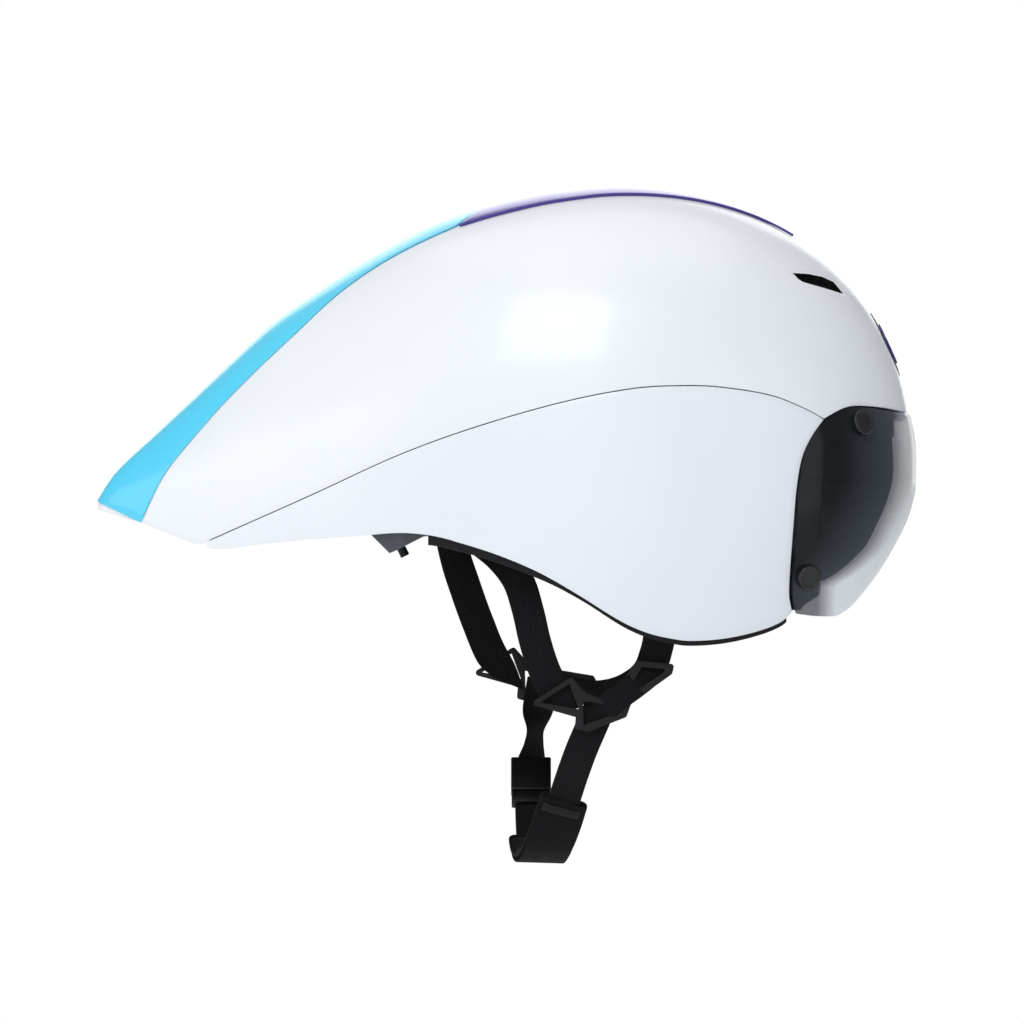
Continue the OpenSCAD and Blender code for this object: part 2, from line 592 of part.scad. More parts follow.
// Side shades behind the lens: the front edge as shares of the height and of the length
shade_share = [[-0.735, 0.8795], [-0.71, 0.893], [-0.66, 0.912], [-0.56, 0.939], [-0.445, 0.955],
               [-0.35, 0.966], [-0.237, 0.974], [-0.147, 0.975], [-0.03, 0.973], [0, 0.972]];
shade_low_share = -0.72;
shade_high_share = -0.042;
shade_clear = 1.4;           // clearance of a shade to the seat
shade_corner = 5;            // rounding of a shade's upper rear corner
shade_corner_share = 0.066;
function shade_rear_x(z) = port_x(z) + seat_w + shade_clear
    + shade_corner * smooth((z / cover_drop + shade_corner_share - shade_high_share) / shade_corner_share);
shade_steps = 10;
shade_rows = 8;
shade_grid = [for (i = [0:shade_steps]) [for (j = [0:shade_rows])
    let(z = cover_drop * lerp(shade_low_share, shade_high_share, j / shade_rows),
        front = front_y(lens_form, at_len(curve(shade_share, z / cover_drop)), z),
        rear = front_y(lens_form, shade_rear_x(z), z), y = -lerp(front, rear, 1 - i / shade_steps))
    [front_x(lens_form, y, z), y, z]]];
shade_depth = lens_t + layer_gap;
module visor_shade_right() {
    color([0.1, 0.11, 0.13, 0.9]) sheet(shade_grid, -shade_depth - shade_t, -shade_depth);
}
module visor_shade_left() {
    left() visor_shade_right();
}

// Seat of the lens: distances from the port's edge, forwards of it above zero
seat_step = 1.2;             // width of the step between them
seat_rows = [seat_w, seat_w / 2, seat_step, -seat_step / 2, -seat_root];
seat_rise = 12;
seat_low_share = -0.86;
seat_foot_share = [0.3, 0.1];
seat_front_share = 0.2;
seat_turn_share = [0.49, 0.53];
function seat_brow_share(s) =
    lerp(seat_front_share, 1, smooth((s - seat_turn_share[0]) / (seat_turn_share[1] - seat_turn_share[0])));
corner_turn_share = 0.7;
function seat_side(f, e, k) =
    let(z = lerp(seat_low_share * cover_drop, corner_z - seat_w, k),
        x = port_x(z) + max(e, 0) * lerp(seat_foot_share[0], 1, smooth(k / seat_foot_share[1])) + min(e, 0))
    [x, -front_y(f, x, z), z];
function seat_corner(f, e) =
    let(x = corner_x + e * corner_turn_share, z = corner_z - e * corner_turn_share) [x, -front_y(f, x, z), z];
function seat_brow(f, e, s) =
    let(y = -s * lens_side(corner_z), z = lens_high_z(s) + lens_margin - max(e, 0) * seat_brow_share(s) - min(e, 0))
    [front_x(f, y, z), y, z];
function seat_line(f, e) = both_sides(concat(
    [for (k = [0:seat_rise]) seat_side(f, e, k / seat_rise)], [seat_corner(f, e)],
    [for (k = [1:seat_rise]) seat_brow(f, e, 0.9 * (1 - k / seat_rise))]));
function turned(g) = [for (j = [0:len(g[0]) - 1]) [for (i = [0:len(g) - 1]) g[i][j]]];
seat_on_lens = turned([for (e = seat_rows) seat_line(lens_form, e)]);
seat_on_shell = turned([for (e = seat_rows) seat_line(shell_form, e)]);
function seat_skin(d) =
    let(a = raised(seat_on_lens, -lens_t - lens_gap - d), b = raised(seat_on_shell, -shell_t - foam_gap - d))
    [for (i = [0:len(a) - 1]) [a[i][0], a[i][1], a[i][2], b[i][3], b[i][4]]];
module visor_seat() {
    color([0.09, 0.09, 0.1]) difference() {
        between(seat_skin(0), seat_skin(seat_t));
        at_magnets() translate([0, 0, -lens_t - lens_gap - fit_gap - disc_t - turn_gap])
            cylinder(h = cap_h + cap_d, d = magnet_d + 2 * turn_gap);
    }
}

// Comfort pads: cushions on the room's surface, thick in the middle and drawn in at the edges
dome_edge_share = 0.35;
dome_power = 4;
function dome(i, n, j, m) = dome_edge_share
    + (1 - dome_edge_share) * sqrt(max(0, (1 - pow(i / n, dome_power)) * (1 - pow(j / m, dome_power))));
module cushion(g, t, side) {
    n = (len(g) - 1) / 2;
    m = (len(g[0]) - 1) / 2;
    top = [for (i = [0:2 * n]) [for (j = [0:2 * m])
        side * (pad_gap + t * dome(abs(i - n), n, abs(j - m), m))]];
    if (side < 0) between(raised(g, -pad_gap), raised_by(g, top));
    else between(raised_by(g, top), raised(g, pad_gap));
}
pad_gap = 0.7;               // clearance between a pad and the surface that it lies on
pad_colour = [0.16, 0.16, 0.18];
brow_pad_share = [0.56, 0.26, 0.5];
module brow_pad() {
    color(pad_colour) cushion([for (i = [-6:6]) [for (j = [0:4])
        let(y = i / 6 * brow_pad_share[0] * room_w / 2,
            z = room_h * lerp(brow_pad_share[1], brow_pad_share[2], j / 4))
        [front_x(room_form, y, z), y, z]]], pad_t, -1);
}
crown_pad_share = [[-0.45, 0.5], [0.2, 0.42]];
module crown_pad_right() {
    color(pad_colour) cushion([for (i = [0:8]) [for (j = [0:4])
        let(x = room_front * lerp(crown_pad_share[0][0], crown_pad_share[0][1], i / 8),
            y = -room_w / 2 * lerp(crown_pad_share[1][1], crown_pad_share[1][0], j / 4))
        [x, y, room_z(x, y)]]], pad_t, -1);
}
module crown_pad_left() {
    left() crown_pad_right();
}
temple_pad_share = [[0.22, 0.6], [0.1, 0.36]];
module temple_pad_right() {
    color(pad_colour) cushion([for (i = [0:6]) [for (j = [0:4])
        let(x = room_front * lerp(temple_pad_share[0][0], temple_pad_share[0][1], i / 6),
            z = room_h * lerp(temple_pad_share[1][0], temple_pad_share[1][1], j / 4))
        [x, -room_y(x, z), z]]], pad_t, -1);
}
module temple_pad_left() {
    left() temple_pad_right();
}

// Fit system: the cradle at the nape, its side view in shares of its length and height
cradle_l = 41.3;             // length of the cradle's housing
cradle_h = 41.6;             // height of the cradle's housing
cradle_set_share = 0.486;
cradle_x = -cradle_set_share * room_back;
cradle_top_share = 0.19;
cradle_top_z = -cradle_top_share * cover_drop;
cradle_share = [[0, -0.05], [0, -0.48], [-0.07, -0.77], [-0.37, -0.8], [-0.69, -0.962], [-0.78, -1],
                [-1, -0.782], [-0.895, -0.73], [-0.895, -0.17], [-0.46, 0]];
function cradle_point(p) = [cradle_x + p[0] * cradle_l, cradle_top_z + p[1] * cradle_h];
housing_w = 36;              // width of the housing
nape_h_share = 0.62;
nape_low_share = 0.7;
nape_r = 70;                 // radius of the nape plate
nape_t = 2.4;                // thickness of the nape plate
nape_arc = asin(cradle_w / 2 / nape_r);
nape_mid_x = cradle_x + nape_r - nape_t / 2;
function strip(points, t) = concat(
    [for (i = [0:len(points) - 1]) points[i] + strip_side(points, i) * t / 2],
    [for (i = [len(points) - 1:-1:0]) points[i] - strip_side(points, i) * t / 2]);
function strip_side(points, i) =
    let(d = points[min(i + 1, len(points) - 1)] - points[max(i - 1, 0)]) [-d[1], d[0]] / norm(d);

// The dial turns about an axis along X
dial_z_share = 0.43;
dial_z = cradle_top_z - dial_z_share * cradle_h;
rack_x_share = 0.504;
rack_x = cradle_x - rack_x_share * cradle_l;
rack_t = 6;                  // thickness of a rack
rack_bar = 3;                // height of a rack behind its teeth
pinion_teeth = 10;
tooth_pitch = 2 * PI * pinion_r / pinion_teeth;
tooth_up = 0.5;              // height of a tooth above the pitch line
tooth_down = 0.9;            // depth of a tooth below the pitch line
tooth_root_share = 0.28;
tooth_tip_share = 0.14;
rack_reach = 30;             // how far a rack's tab is from the middle
rack_tab = 3.4;              // width of a rack's tab
rack_inner = 6;              // how far a rack passes the middle
shaft_d = 5;                 // diameter of the pinion's shaft
dial_back_share = 0.895;
dial_back_x = cradle_x - dial_back_share * cradle_l - slide_gap;
dial_hub = 3;                // depth of the shaft inside the dial
module cradle_body() {
    color([0.36, 0.38, 0.42]) difference() {
        union() {
            translate([0, housing_w / 2, 0]) rotate([90, 0, 0])
                linear_extrude(housing_w) polygon([for (p = cradle_share) cradle_point(p)]);
            translate([0, 0, cradle_top_z - nape_low_share * cradle_h])
                linear_extrude(nape_h_share * cradle_h)
                polygon(strip([for (i = [-8:8]) let(a = i / 8 * nape_arc)
                    [nape_mid_x - nape_r * cos(a), nape_r * sin(a)]], nape_t));
        }
        translate([rack_x - rack_t / 2 - slide_gap, -housing_w, dial_z - rack_span])
            cube([rack_t + 2 * slide_gap, 2 * housing_w, 2 * rack_span]);
        translate([dial_back_x - cut, 0, dial_z]) rotate([0, 90, 0])
            cylinder(h = rack_x - dial_back_x + cut, d = shaft_d + 2 * turn_gap);
        at_button() translate([0, 0, -button_deep])
            cylinder(h = button_deep + cut, d = button_d + 2 * turn_gap);
    }
}
rack_span = pinion_r + tooth_down + rack_bar + slide_gap;
module along_x(x, z) {
    translate([x, 0, z]) rotate([90, 0, 90]) children();
}
module tooth(h) {
    root = tooth_root_share * tooth_pitch;
    tip = tooth_tip_share * tooth_pitch;
    polygon([[-root, -h - tooth_up / 2], [root, -h - tooth_up / 2], [tip, 0], [-tip, 0]]);
}
tooth_h = tooth_up + tooth_down;
module drive_pinion() {
    color([0.75, 0.76, 0.78]) {
        along_x(rack_x - rack_t / 2, dial_z) linear_extrude(rack_t - slide_gap) union() {
            circle(pinion_r - tooth_down);
            for (k = [0:pinion_teeth - 1]) rotate(k * 360 / pinion_teeth)
                translate([0, pinion_r + tooth_up]) tooth(tooth_h);
        }
        along_x(dial_back_x - dial_hub, dial_z)
            cylinder(h = rack_x - rack_t / 2 - dial_back_x + dial_hub, d = shaft_d);
    }
}
dial_grips = 16;
grip_share = 0.11;
module fit_dial() {
    color([0.05, 0.05, 0.06]) along_x(dial_back_x - dial_t, dial_z) difference() {
        cylinder(h = dial_t, d = dial_d);
        for (k = [0:dial_grips - 1]) rotate(k * 360 / dial_grips) translate([dial_d / 2, 0, -cut])
            cylinder(h = dial_t + 2 * cut, d = grip_share * dial_d, $fn = 16);
        translate([0, 0, dial_t - dial_hub - fit_gap])
            cylinder(h = dial_hub + fit_gap + cut, d = shaft_d + 2 * turn_gap);
    }
}
// The left rack lies above the pinion, and the right one below it
module rack() {
    translate([rack_x - rack_t / 2, 0, dial_z]) {
        translate([0, -rack_reach, pinion_r + tooth_down]) cube([rack_t, rack_reach + rack_inner, rack_bar]);
        translate([0, -rack_reach - rack_tab, -belt_w / 2])
            cube([rack_t, rack_tab, belt_w / 2 + pinion_r + tooth_down + rack_bar]);
        rotate([90, 0, 90]) linear_extrude(rack_t)
            for (k = [-floor((rack_reach - rack_tab) / tooth_pitch):floor(rack_inner / tooth_pitch) - 1])
                translate([(k + 0.5) * tooth_pitch, pinion_r - tooth_up]) rotate(180) tooth(tooth_h);
    }
}
module belt_rack_right() {
    color([0.2, 0.21, 0.24]) translate([0, 0, 2 * dial_z]) mirror([0, 0, 1]) rack();
}
module belt_rack_left() {
    color([0.2, 0.21, 0.24]) left() rack();
}

// Head belts: their route as shares of the room's half length, half width and height
belt_share = [[-0.94, 0.6, -0.44], [-0.84, 0.69, -0.36], [-0.69, 0.8, -0.29], [-0.5, 0.865, -0.27],
              [-0.25, 0.915, -0.27], [0, 0.93, -0.27], [0.2, 0.92, -0.27], [0.35, 0.875, -0.27],
              [0.48, 0.838, -0.27], [0.56, 0.835, -0.27]];
function belt_place(p) =
    [p[0] * (p[0] < 0 ? room_back - room_front : room_front), p[1] * room_w / 2, p[2] * room_h];
belt_start = [[rack_x, rack_reach + rack_tab + 2 * fit_gap, dial_z]];
belt_route = concat(belt_start, [for (p = belt_share) belt_place(p)]);
module head_belt_left() {
    color([0.12, 0.12, 0.14]) difference() {
        sheet([for (p = belt_route) [p - [0, 0, belt_w / 2], p + [0, 0, belt_w / 2]]],
              -belt_t / 2, belt_t / 2);
        mirror([0, 1, 0]) belt_pin_hole(pin_head_t);
    }
}
module head_belt_right() {
    left() head_belt_left();
}
pin_d = 3;                   // diameter of the shaft of a belt pin
pin_head_d = 7;              // diameter of the head of a belt pin
pin_head_t = 1.4;            // thickness of the head of a belt pin
pin_l = 11;                  // length of the shaft of a belt pin
pin_bore_l = pin_l + fit_gap;
belt_pin_x = lerp(belt_place(belt_share[8])[0], belt_place(belt_share[9])[0], 0.5);
module at_belt_pin() {
    translate([belt_pin_x, -belt_place(belt_share[9])[1] + belt_t / 2, belt_place(belt_share[9])[2]])
        rotate([90, 0, 0]) children();
}
module belt_pin_hole(l) {
    at_belt_pin() translate([0, 0, -belt_t - cut]) cylinder(h = l + belt_t + cut, d = pin_d + 2 * turn_gap);
}
module belt_pins() {
    color([0.1, 0.1, 0.11]) for (m = [0, 1]) mirror([0, m, 0]) at_belt_pin() {
        cylinder(h = pin_l, d = pin_d);
        translate([0, 0, -pin_head_t - fit_gap]) cylinder(h = pin_head_t, d = pin_head_d);
        translate([0, 0, -fit_gap - tiny]) cylinder(h = fit_gap + 2 * tiny, d = pin_d);
    }
}

// Release button under the cradle, with Z out of the housing
button_tilt = 153;
button_share = [0.64, 0.933];
button_place = [cradle_x - button_share[0] * cradle_l, cradle_top_z - button_share[1] * cradle_h];
button_deep = 8;             // depth of the button's bore
button_in = 4;               // length of the button inside its bore
spring_wall = 0.5;           // wall of the spring
module at_button() {
    translate([button_place[0], 0, button_place[1]]) rotate([0, button_tilt, 0]) children();
}
module release_button() {
    color([0.07, 0.07, 0.08]) at_button() translate([0, 0, -button_in])
        cylinder(h = button_in + button_out, d = button_d);
}
module button_spring() {
    color([0.72, 0.73, 0.75]) at_button() translate([0, 0, -button_deep + fit_gap / 2]) difference() {
        cylinder(h = button_deep - button_in - fit_gap, d = button_d - 2 * fit_gap);
        translate([0, 0, -cut]) cylinder(h = button_deep, d = button_d - 2 * fit_gap - 2 * spring_wall);
    }
}

// Bracket that hangs the cradle from the foam above it
bracket_t = 2;               // thickness of the bracket
bracket_w = 24;              // width of the bracket
bracket_tab = 16;            // length of the bracket's tab
tab_place_share = 0.44;
tab_x = -tab_place_share * room_back;
tab_tilt = atan2(room_top(tab_x + probe) - room_top(tab_x - probe), 2 * probe);
screw_d = 3;                 // diameter of a screw
screw_head_d = 5.6;          // diameter of a screw's head
screw_head_t = 1.6;          // thickness of a screw's head
screw_l = 14;                // length of a screw
tab_gap = 1.8;               // clearance of the tab under the curved foam
module at_tab() {
    translate([tab_x, 0, room_top(tab_x)]) rotate([0, -tab_tilt, 0]) children();
}
module bracket_screw_places() {
    at_tab() for (m = [-1, 1]) translate([0, m * bracket_w / 4, -tab_gap - bracket_t - fit_gap]) children();
}
tab_low = [tab_x - bracket_tab / 2 * cos(tab_tilt) + (tab_gap + bracket_t / 2) * sin(tab_tilt),
           room_top(tab_x) - bracket_tab / 2 * sin(tab_tilt) - (tab_gap + bracket_t / 2) * cos(tab_tilt)];
bracket_foot = [cradle_x - 0.3 * cradle_l, cradle_top_z + layer_gap + bracket_t / 2];
bracket_route = [tab_low, lerp(tab_low, bracket_foot, 0.08) - [bracket_t, 0], lerp(tab_low, bracket_foot, 0.3)
                 - [3 * bracket_t, 0], lerp(tab_low, bracket_foot, 0.65) - [3 * bracket_t, 0], bracket_foot];
module cradle_bracket() {
    color([0.3, 0.31, 0.34]) difference() {
        union() {
            at_tab() translate([-bracket_tab / 2, -bracket_w / 2, -tab_gap - bracket_t])
                cube([bracket_tab, bracket_w, bracket_t]);
            translate([0, bracket_w / 2, 0]) rotate([90, 0, 0])
                linear_extrude(bracket_w) polygon(strip(bracket_route, bracket_t));
        }
        bracket_screw_places() translate([0, 0, -cut]) cylinder(h = screw_l, d = screw_d + 2 * turn_gap);
    }
}
module cradle_screws() {
    color([0.68, 0.69, 0.71]) bracket_screw_places() {
        cylinder(h = screw_l, d = screw_d);
        translate([0, 0, -screw_head_t]) cylinder(h = screw_head_t + tiny, d = screw_head_d);
    }
}
nape_pad_share = 0.92;
module nape_pad() {
    color(pad_colour) cushion([for (i = [-6:6]) [for (j = [0:4])
        let(a = i / 6 * nape_arc * nape_pad_share, r = nape_r - nape_t / 2,
            z = cradle_top_z + cradle_h * (-nape_low_share + nape_h_share * lerp(0.06, 0.94, j / 4)))
        [nape_mid_x - r * cos(a), r * sin(a), z]]], pad_t, 1);
}

// Strap anchors, with Z outwards into the foam
anchor_share = [[-0.48, -0.445], [0.02, -0.66]];
anchor_places = [for (k = [0, 1]) for (m = [-1, 1])
    let(a = anchor_share[k], x = a[0] * (k == 0 ? room_back : room_front), z = a[1] * cover_drop) [x, m, z]];
anchor_d = 14;               // diameter of an anchor's flange
anchor_t = 1.6;              // thickness of an anchor's flange
anchor_stem_d = 6;           // diameter of an anchor's stem
anchor_l = 7;                // length of an anchor's stem
function room_at(x, z) = [x, -room_y(x, z), z];
function room_normal(x, z) =
    let(n = cross(room_at(x + probe, z) - room_at(x - probe, z),
                  room_at(x, z + probe) - room_at(x, z - probe))) n / norm(n);
module at_anchor(a) {
    n = room_normal(a[0], a[2]);
    mirror([0, a[1] > 0 ? 1 : 0, 0]) translate(room_at(a[0], a[2]))
        rotate([0, acos(n[2]), atan2(n[1], n[0])]) children();
}
module anchor_bore(a) {
    at_anchor(a) translate([0, 0, -anchor_d])
        cylinder(h = anchor_d + anchor_l + fit_gap, d = anchor_stem_d + 2 * turn_gap);
}
anchor_sink = 1;             // clearance of a flange over the curved foam
module strap_anchors() {
    color([0.1, 0.1, 0.11]) for (a = anchor_places) at_anchor(a) {
        translate([0, 0, -anchor_sink]) cylinder(h = anchor_l + anchor_sink, d = anchor_stem_d);
        translate([0, 0, -anchor_sink - anchor_t]) cylinder(h = anchor_t + tiny, d = anchor_d);
    }
}

// Straps: rows of a route give shares of the chin's depth and of the straps' spread, and the width's
// angle in the side view and, where it has one, in the plan
rear_right_share = [[-0.474, 0.815, -0.195, 20, 26], [-0.46, 0.83, -0.235, 20, 26],
                    [-0.41, 0.9, -0.262, 38, 16],
                    [-0.362, 0.94, -0.302, 34], [-0.328, 0.955, -0.35, 18], [-0.306, 0.965, -0.417, 8],
                    [-0.289, 0.96, -0.49, 12], [-0.266, 0.95, -0.56, 22], [-0.24, 0.95, -0.61, 28],
                    [-0.216, 0.95, -0.645, 30]];
front_right_share = [[0.009, 1.055, -0.3, 0], [0.006, 1.05, -0.389, 0], [0.002, 1.04, -0.454, 0],
                     [-0.007, 0.97, -0.505, -3], [-0.016, 0.948, -0.542, -8], [-0.028, 0.95, -0.572, -28],
                     [-0.054, 0.95, -0.592, -62], [-0.09, 0.95, -0.605, -72], [-0.122, 0.95, -0.614, -74]];
chin_right_share = [[-0.1445, 0.95, -0.654, -18], [-0.158, 0.95, -0.685, -20], [-0.178, 0.89, -0.731, -20],
                    [-0.2, 0.74, -0.79, -19], [-0.222, 0.55, -0.857, -16], [-0.243, 0.36, -0.925, -12],
                    [-0.262, 0.17, -0.975, -6], [-0.277, -0.01, -0.995, -2], [-0.288, -0.17, -0.985, 0],
                    [-0.295, -0.32, -0.945, 2], [-0.2986, -0.4485, -0.8683, 0]];
rear_left_share = [[-0.478, 0.81, -0.195, 4, 26], [-0.484, 0.805, -0.25, 4, 26],
                   [-0.472, 0.84, -0.3, 14, 16],
                   [-0.449, 0.88, -0.37, 18], [-0.42, 0.92, -0.45, 20], [-0.39, 0.94, -0.52, 24],
                   [-0.365, 0.95, -0.565, 28], [-0.35, 0.95, -0.585, 30]];
front_left_share = [[0.009, 1.055, -0.3, 0], [0.006, 1.05, -0.389, 0], [0.002, 1.04, -0.454, 0],
                    [-0.007, 1.0, -0.505, -3], [-0.03, 0.96, -0.555, -30], [-0.085, 0.955, -0.59, -66],
                    [-0.155, 0.95, -0.602, -80], [-0.225, 0.95, -0.592, -86], [-0.262, 0.95, -0.58, -86]];
chin_left_share = [[-0.278, 0.95, -0.623, -6], [-0.283, 0.95, -0.65, -4, 8], [-0.288, 0.89, -0.69, -2, 55],
                   [-0.292, 0.8, -0.724, 0, 45], [-0.2986, 0.6735, -0.7636, 0]];
function wide_way(a, plan, side) = [cos(a) * cos(plan), -side * sin(plan), sin(a)];
function strap_grid(t, side, w, n) =
    [for (p = t) let(c = [p[0] * chin_drop, -side * p[1] * strap_spread, p[2] * chin_drop])
        [for (j = [-n:n]) c + j / n * w / 2 * wide_way(p[3], len(p) > 4 ? p[4] : 0, side)]];
web_colour = [0.05, 0.05, 0.055];
module strap(t, side) {
    color(web_colour) sheet([for (r = strap_grid(t, side, web_w, 1)) [r[0], r[2]]], -web_t / 2, web_t / 2);
}
module rear_strap_right() {
    strap(rear_right_share, 1);
}
module front_strap_right() {
    strap(front_right_share, 1);
}
module chin_strap_right() {
    strap(chin_right_share, 1);
}
module rear_strap_left() {
    strap(rear_left_share, -1);
}
module front_strap_left() {
    strap(front_left_share, -1);
}
module chin_strap_left() {
    strap(chin_left_share, -1);
}

// Strap dividers: three frames in one plate, in shares of its width and height
guide_w = 71;                // width of a divider
guide_h = 36;                // height of a divider
guide_share = [-0.134, 0.95, -0.616];
guide_left_share = [-0.268, 0.95, -0.546];
guide_round = 1.6;           // radius of the corners of a divider
guide_outline_share = [[-0.514, -0.111], [-0.214, 0.269], [-0.114, 0.042], [-0.014, -0.028], [0.157, 0.25],
                       [0.25, 0.494], [0.511, 0.444], [0.493, 0.306], [0.207, -0.097], [0.171, -0.292],
                       [-0.1, -0.5], [-0.193, -0.458], [-0.186, -0.292]];
guide_holes_share = [[[-0.437, -0.09], [-0.23, 0.17], [-0.165, -0.18]],
                     [[-0.135, -0.07], [-0.13, -0.4], [0.125, -0.235], [0.135, -0.12], [0.01, -0.11]],
                     [[0.28, 0.405], [0.445, 0.375], [0.43, 0.32], [0.23, 0.06], [0.21, 0.17]]];
module divider(place, side) {
    y = side * (strap_spread * place[1] + web_t / 2 + fit_gap + guide_t);
    color([0.08, 0.08, 0.09])
        translate([place[0] * chin_drop, side < 0 ? y + guide_t : y, place[2] * chin_drop])
        rotate([90, 0, 0]) linear_extrude(guide_t) difference() {
            offset(guide_round, $fn = 16) offset(-guide_round)
                polygon([for (p = guide_outline_share) [p[0] * guide_w, p[1] * guide_h]]);
            for (h = guide_holes_share) polygon([for (p = h) [p[0] * guide_w, p[1] * guide_h]]);
        }
}
module strap_divider_right() {
    divider(guide_share, -1);
}
module strap_divider_left() {
    divider(guide_left_share, 1);
}

// Chin pad
chin_pad_share = [[-0.222, 0.55, -0.857, -16], [-0.243, 0.36, -0.925, -12], [-0.262, 0.17, -0.975, -6],
                  [-0.277, -0.01, -0.995, -2], [-0.288, -0.17, -0.985, 0], [-0.295, -0.32, -0.945, 2]];
chin_pad_w = 23;             // width of the chin pad
module chin_pad() {
    g = strap_grid(chin_pad_share, 1, chin_pad_w, 2);
    top = [for (i = [0:5]) [for (j = [0:4])
        -web_t / 2 - slide_gap - chin_pad_t * dome(abs(2 * i - 5), 5.2, abs(j - 2), 2)]];
    color(pad_colour) between(raised(g, -web_t / 2 - slide_gap), raised_by(g, top));
}

// Buckle on the left, with Z along the strap
buckle_tilt = 36;
buckle_share = [-0.2986, 0.51, -0.84];
socket_l = 20;               // length of the buckle's socket
buckle_w = 20;               // width of the buckle
buckle_t = 7;                // thickness of the buckle
tongue_in = 14;              // length of the tongue inside the socket
tongue_w = 13;               // width of the tongue
tongue_t = 3;                // thickness of the tongue
tongue_head = 7;             // length of the tongue outside the socket
module at_buckle() {
    translate([buckle_share[0] * chin_drop, buckle_share[1] * strap_spread, buckle_share[2] * chin_drop])
        rotate([-buckle_tilt, 0, 0]) children();
}
module block(w, t, l) {
    translate([-w / 2, -t / 2, 0]) cube([w, t, l]);
}
module buckle_socket() {
    color([0.07, 0.07, 0.08]) at_buckle() difference() {
        block(buckle_w, buckle_t, socket_l);
        translate([0, 0, -cut])
            block(tongue_w + 2 * fit_gap, tongue_t + 2 * fit_gap, tongue_in + fit_gap + cut);
    }
}
module buckle_tongue() {
    color([0.1, 0.1, 0.11]) at_buckle() {
        translate([0, 0, -tongue_head - fit_gap])
            block(buckle_w - 2 * fit_gap, buckle_t - 2 * fit_gap, tongue_head);
        translate([0, 0, -fit_gap - tiny]) block(tongue_w, tongue_t, tongue_in + fit_gap);
    }
}

upper_shell();
lower_shell_right();
lower_shell_left();
tail_film();
crown_cover();
brow_vent_frame();
brow_vent_plate();
foam_front_right();
foam_front_left();
foam_rear_right();
foam_rear_left();
edge_trim_right();
edge_trim_left();
visor_seat();
strike_discs();
visor_lens();
visor_shade_right();
visor_shade_left();
magnet_caps();
visor_magnets();
brow_pad();
crown_pad_right();
crown_pad_left();
temple_pad_right();
temple_pad_left();
cradle_body();
cradle_bracket();
cradle_screws();
nape_pad();
fit_dial();
drive_pinion();
belt_rack_right();
belt_rack_left();
head_belt_right();
head_belt_left();
belt_pins();
release_button();
button_spring();
strap_anchors();
rear_strap_right();
front_strap_right();
chin_strap_right();
rear_strap_left();
front_strap_left();
chin_strap_left();
strap_divider_right();
strap_divider_left();
chin_pad();
buckle_socket();
buckle_tongue();
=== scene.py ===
"""Dressed model of an aero time trial helmet: shells, visor, fit system, harness and linings."""

import logging
import math
from dataclasses import dataclass
from enum import Enum
from typing import Callable, Iterable, Sequence

import bpy
import numpy as np
from mathutils import Matrix, Vector
from mathutils.kdtree import KDTree


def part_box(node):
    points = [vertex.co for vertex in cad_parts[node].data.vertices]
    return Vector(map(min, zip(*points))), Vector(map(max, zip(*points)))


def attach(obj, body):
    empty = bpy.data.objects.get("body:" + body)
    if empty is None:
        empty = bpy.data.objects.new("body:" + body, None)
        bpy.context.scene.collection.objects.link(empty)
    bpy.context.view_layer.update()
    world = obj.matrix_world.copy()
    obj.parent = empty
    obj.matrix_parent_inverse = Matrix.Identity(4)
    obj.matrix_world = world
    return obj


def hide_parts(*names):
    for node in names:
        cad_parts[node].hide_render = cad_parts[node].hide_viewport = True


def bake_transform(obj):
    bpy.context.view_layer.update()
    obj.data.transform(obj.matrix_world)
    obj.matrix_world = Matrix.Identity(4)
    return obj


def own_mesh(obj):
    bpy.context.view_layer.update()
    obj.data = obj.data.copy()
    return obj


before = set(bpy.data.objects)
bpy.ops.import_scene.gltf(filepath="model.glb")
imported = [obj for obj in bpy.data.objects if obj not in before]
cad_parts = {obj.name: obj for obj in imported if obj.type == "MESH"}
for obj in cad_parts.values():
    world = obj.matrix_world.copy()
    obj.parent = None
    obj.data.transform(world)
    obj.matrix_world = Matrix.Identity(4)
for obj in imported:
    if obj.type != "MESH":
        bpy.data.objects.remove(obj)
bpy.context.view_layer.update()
LOG = logging.getLogger("helmet")
MM = 0.001
Point = tuple[float, float, float]
Grid = list[list[Point]]
Table = Sequence[Sequence[float]]


# Numbers


def lerp(a: float, b: float, s: float) -> float:
    """Returns the value a share s of the way from a to b."""
    return a + (b - a) * s


def smooth(s: float) -> float:
    """Returns an even ease from 0 to 1."""
    c = min(1.0, max(0.0, s))
    return c * c * (3 - 2 * c)


def curve(table: Table, x: float) -> float:
    """Reads a smooth curve through a table of places and values.

    Args:
        table: Rows of a place and its value, in rising order of place.
        x: The place to read at.

    Returns:
        The value of the cubic through the rows at x.
    """
    last = len(table) - 1
    i = 0
    while i < last - 1 and x >= table[i + 1][0]:
        i += 1

    def slope(k: int) -> float:
        """Returns the slope at row k."""
        a, b = table[max(k - 1, 0)], table[min(k + 1, last)]
        return (b[1] - a[1]) / (b[0] - a[0])

    (x0, y0), (x1, y1) = table[i][:2], table[i + 1][:2]
    h = x1 - x0
    t = (x - x0) / h
    return ((2 * t**3 - 3 * t**2 + 1) * y0 + (t**3 - 2 * t**2 + t) * h * slope(i)
            + (3 * t**2 - 2 * t**3) * y1 + (t**3 - t**2) * h * slope(i + 1))


def round_side(r: float, power: float = 2.2) -> float:
    """Returns the height of a rounded section of radius 1 at r."""
    return max(0.0, 1 - max(0.0, r) ** power) ** (1 / power)


# Form of the helmet, in millimetres and in shares of its sizes


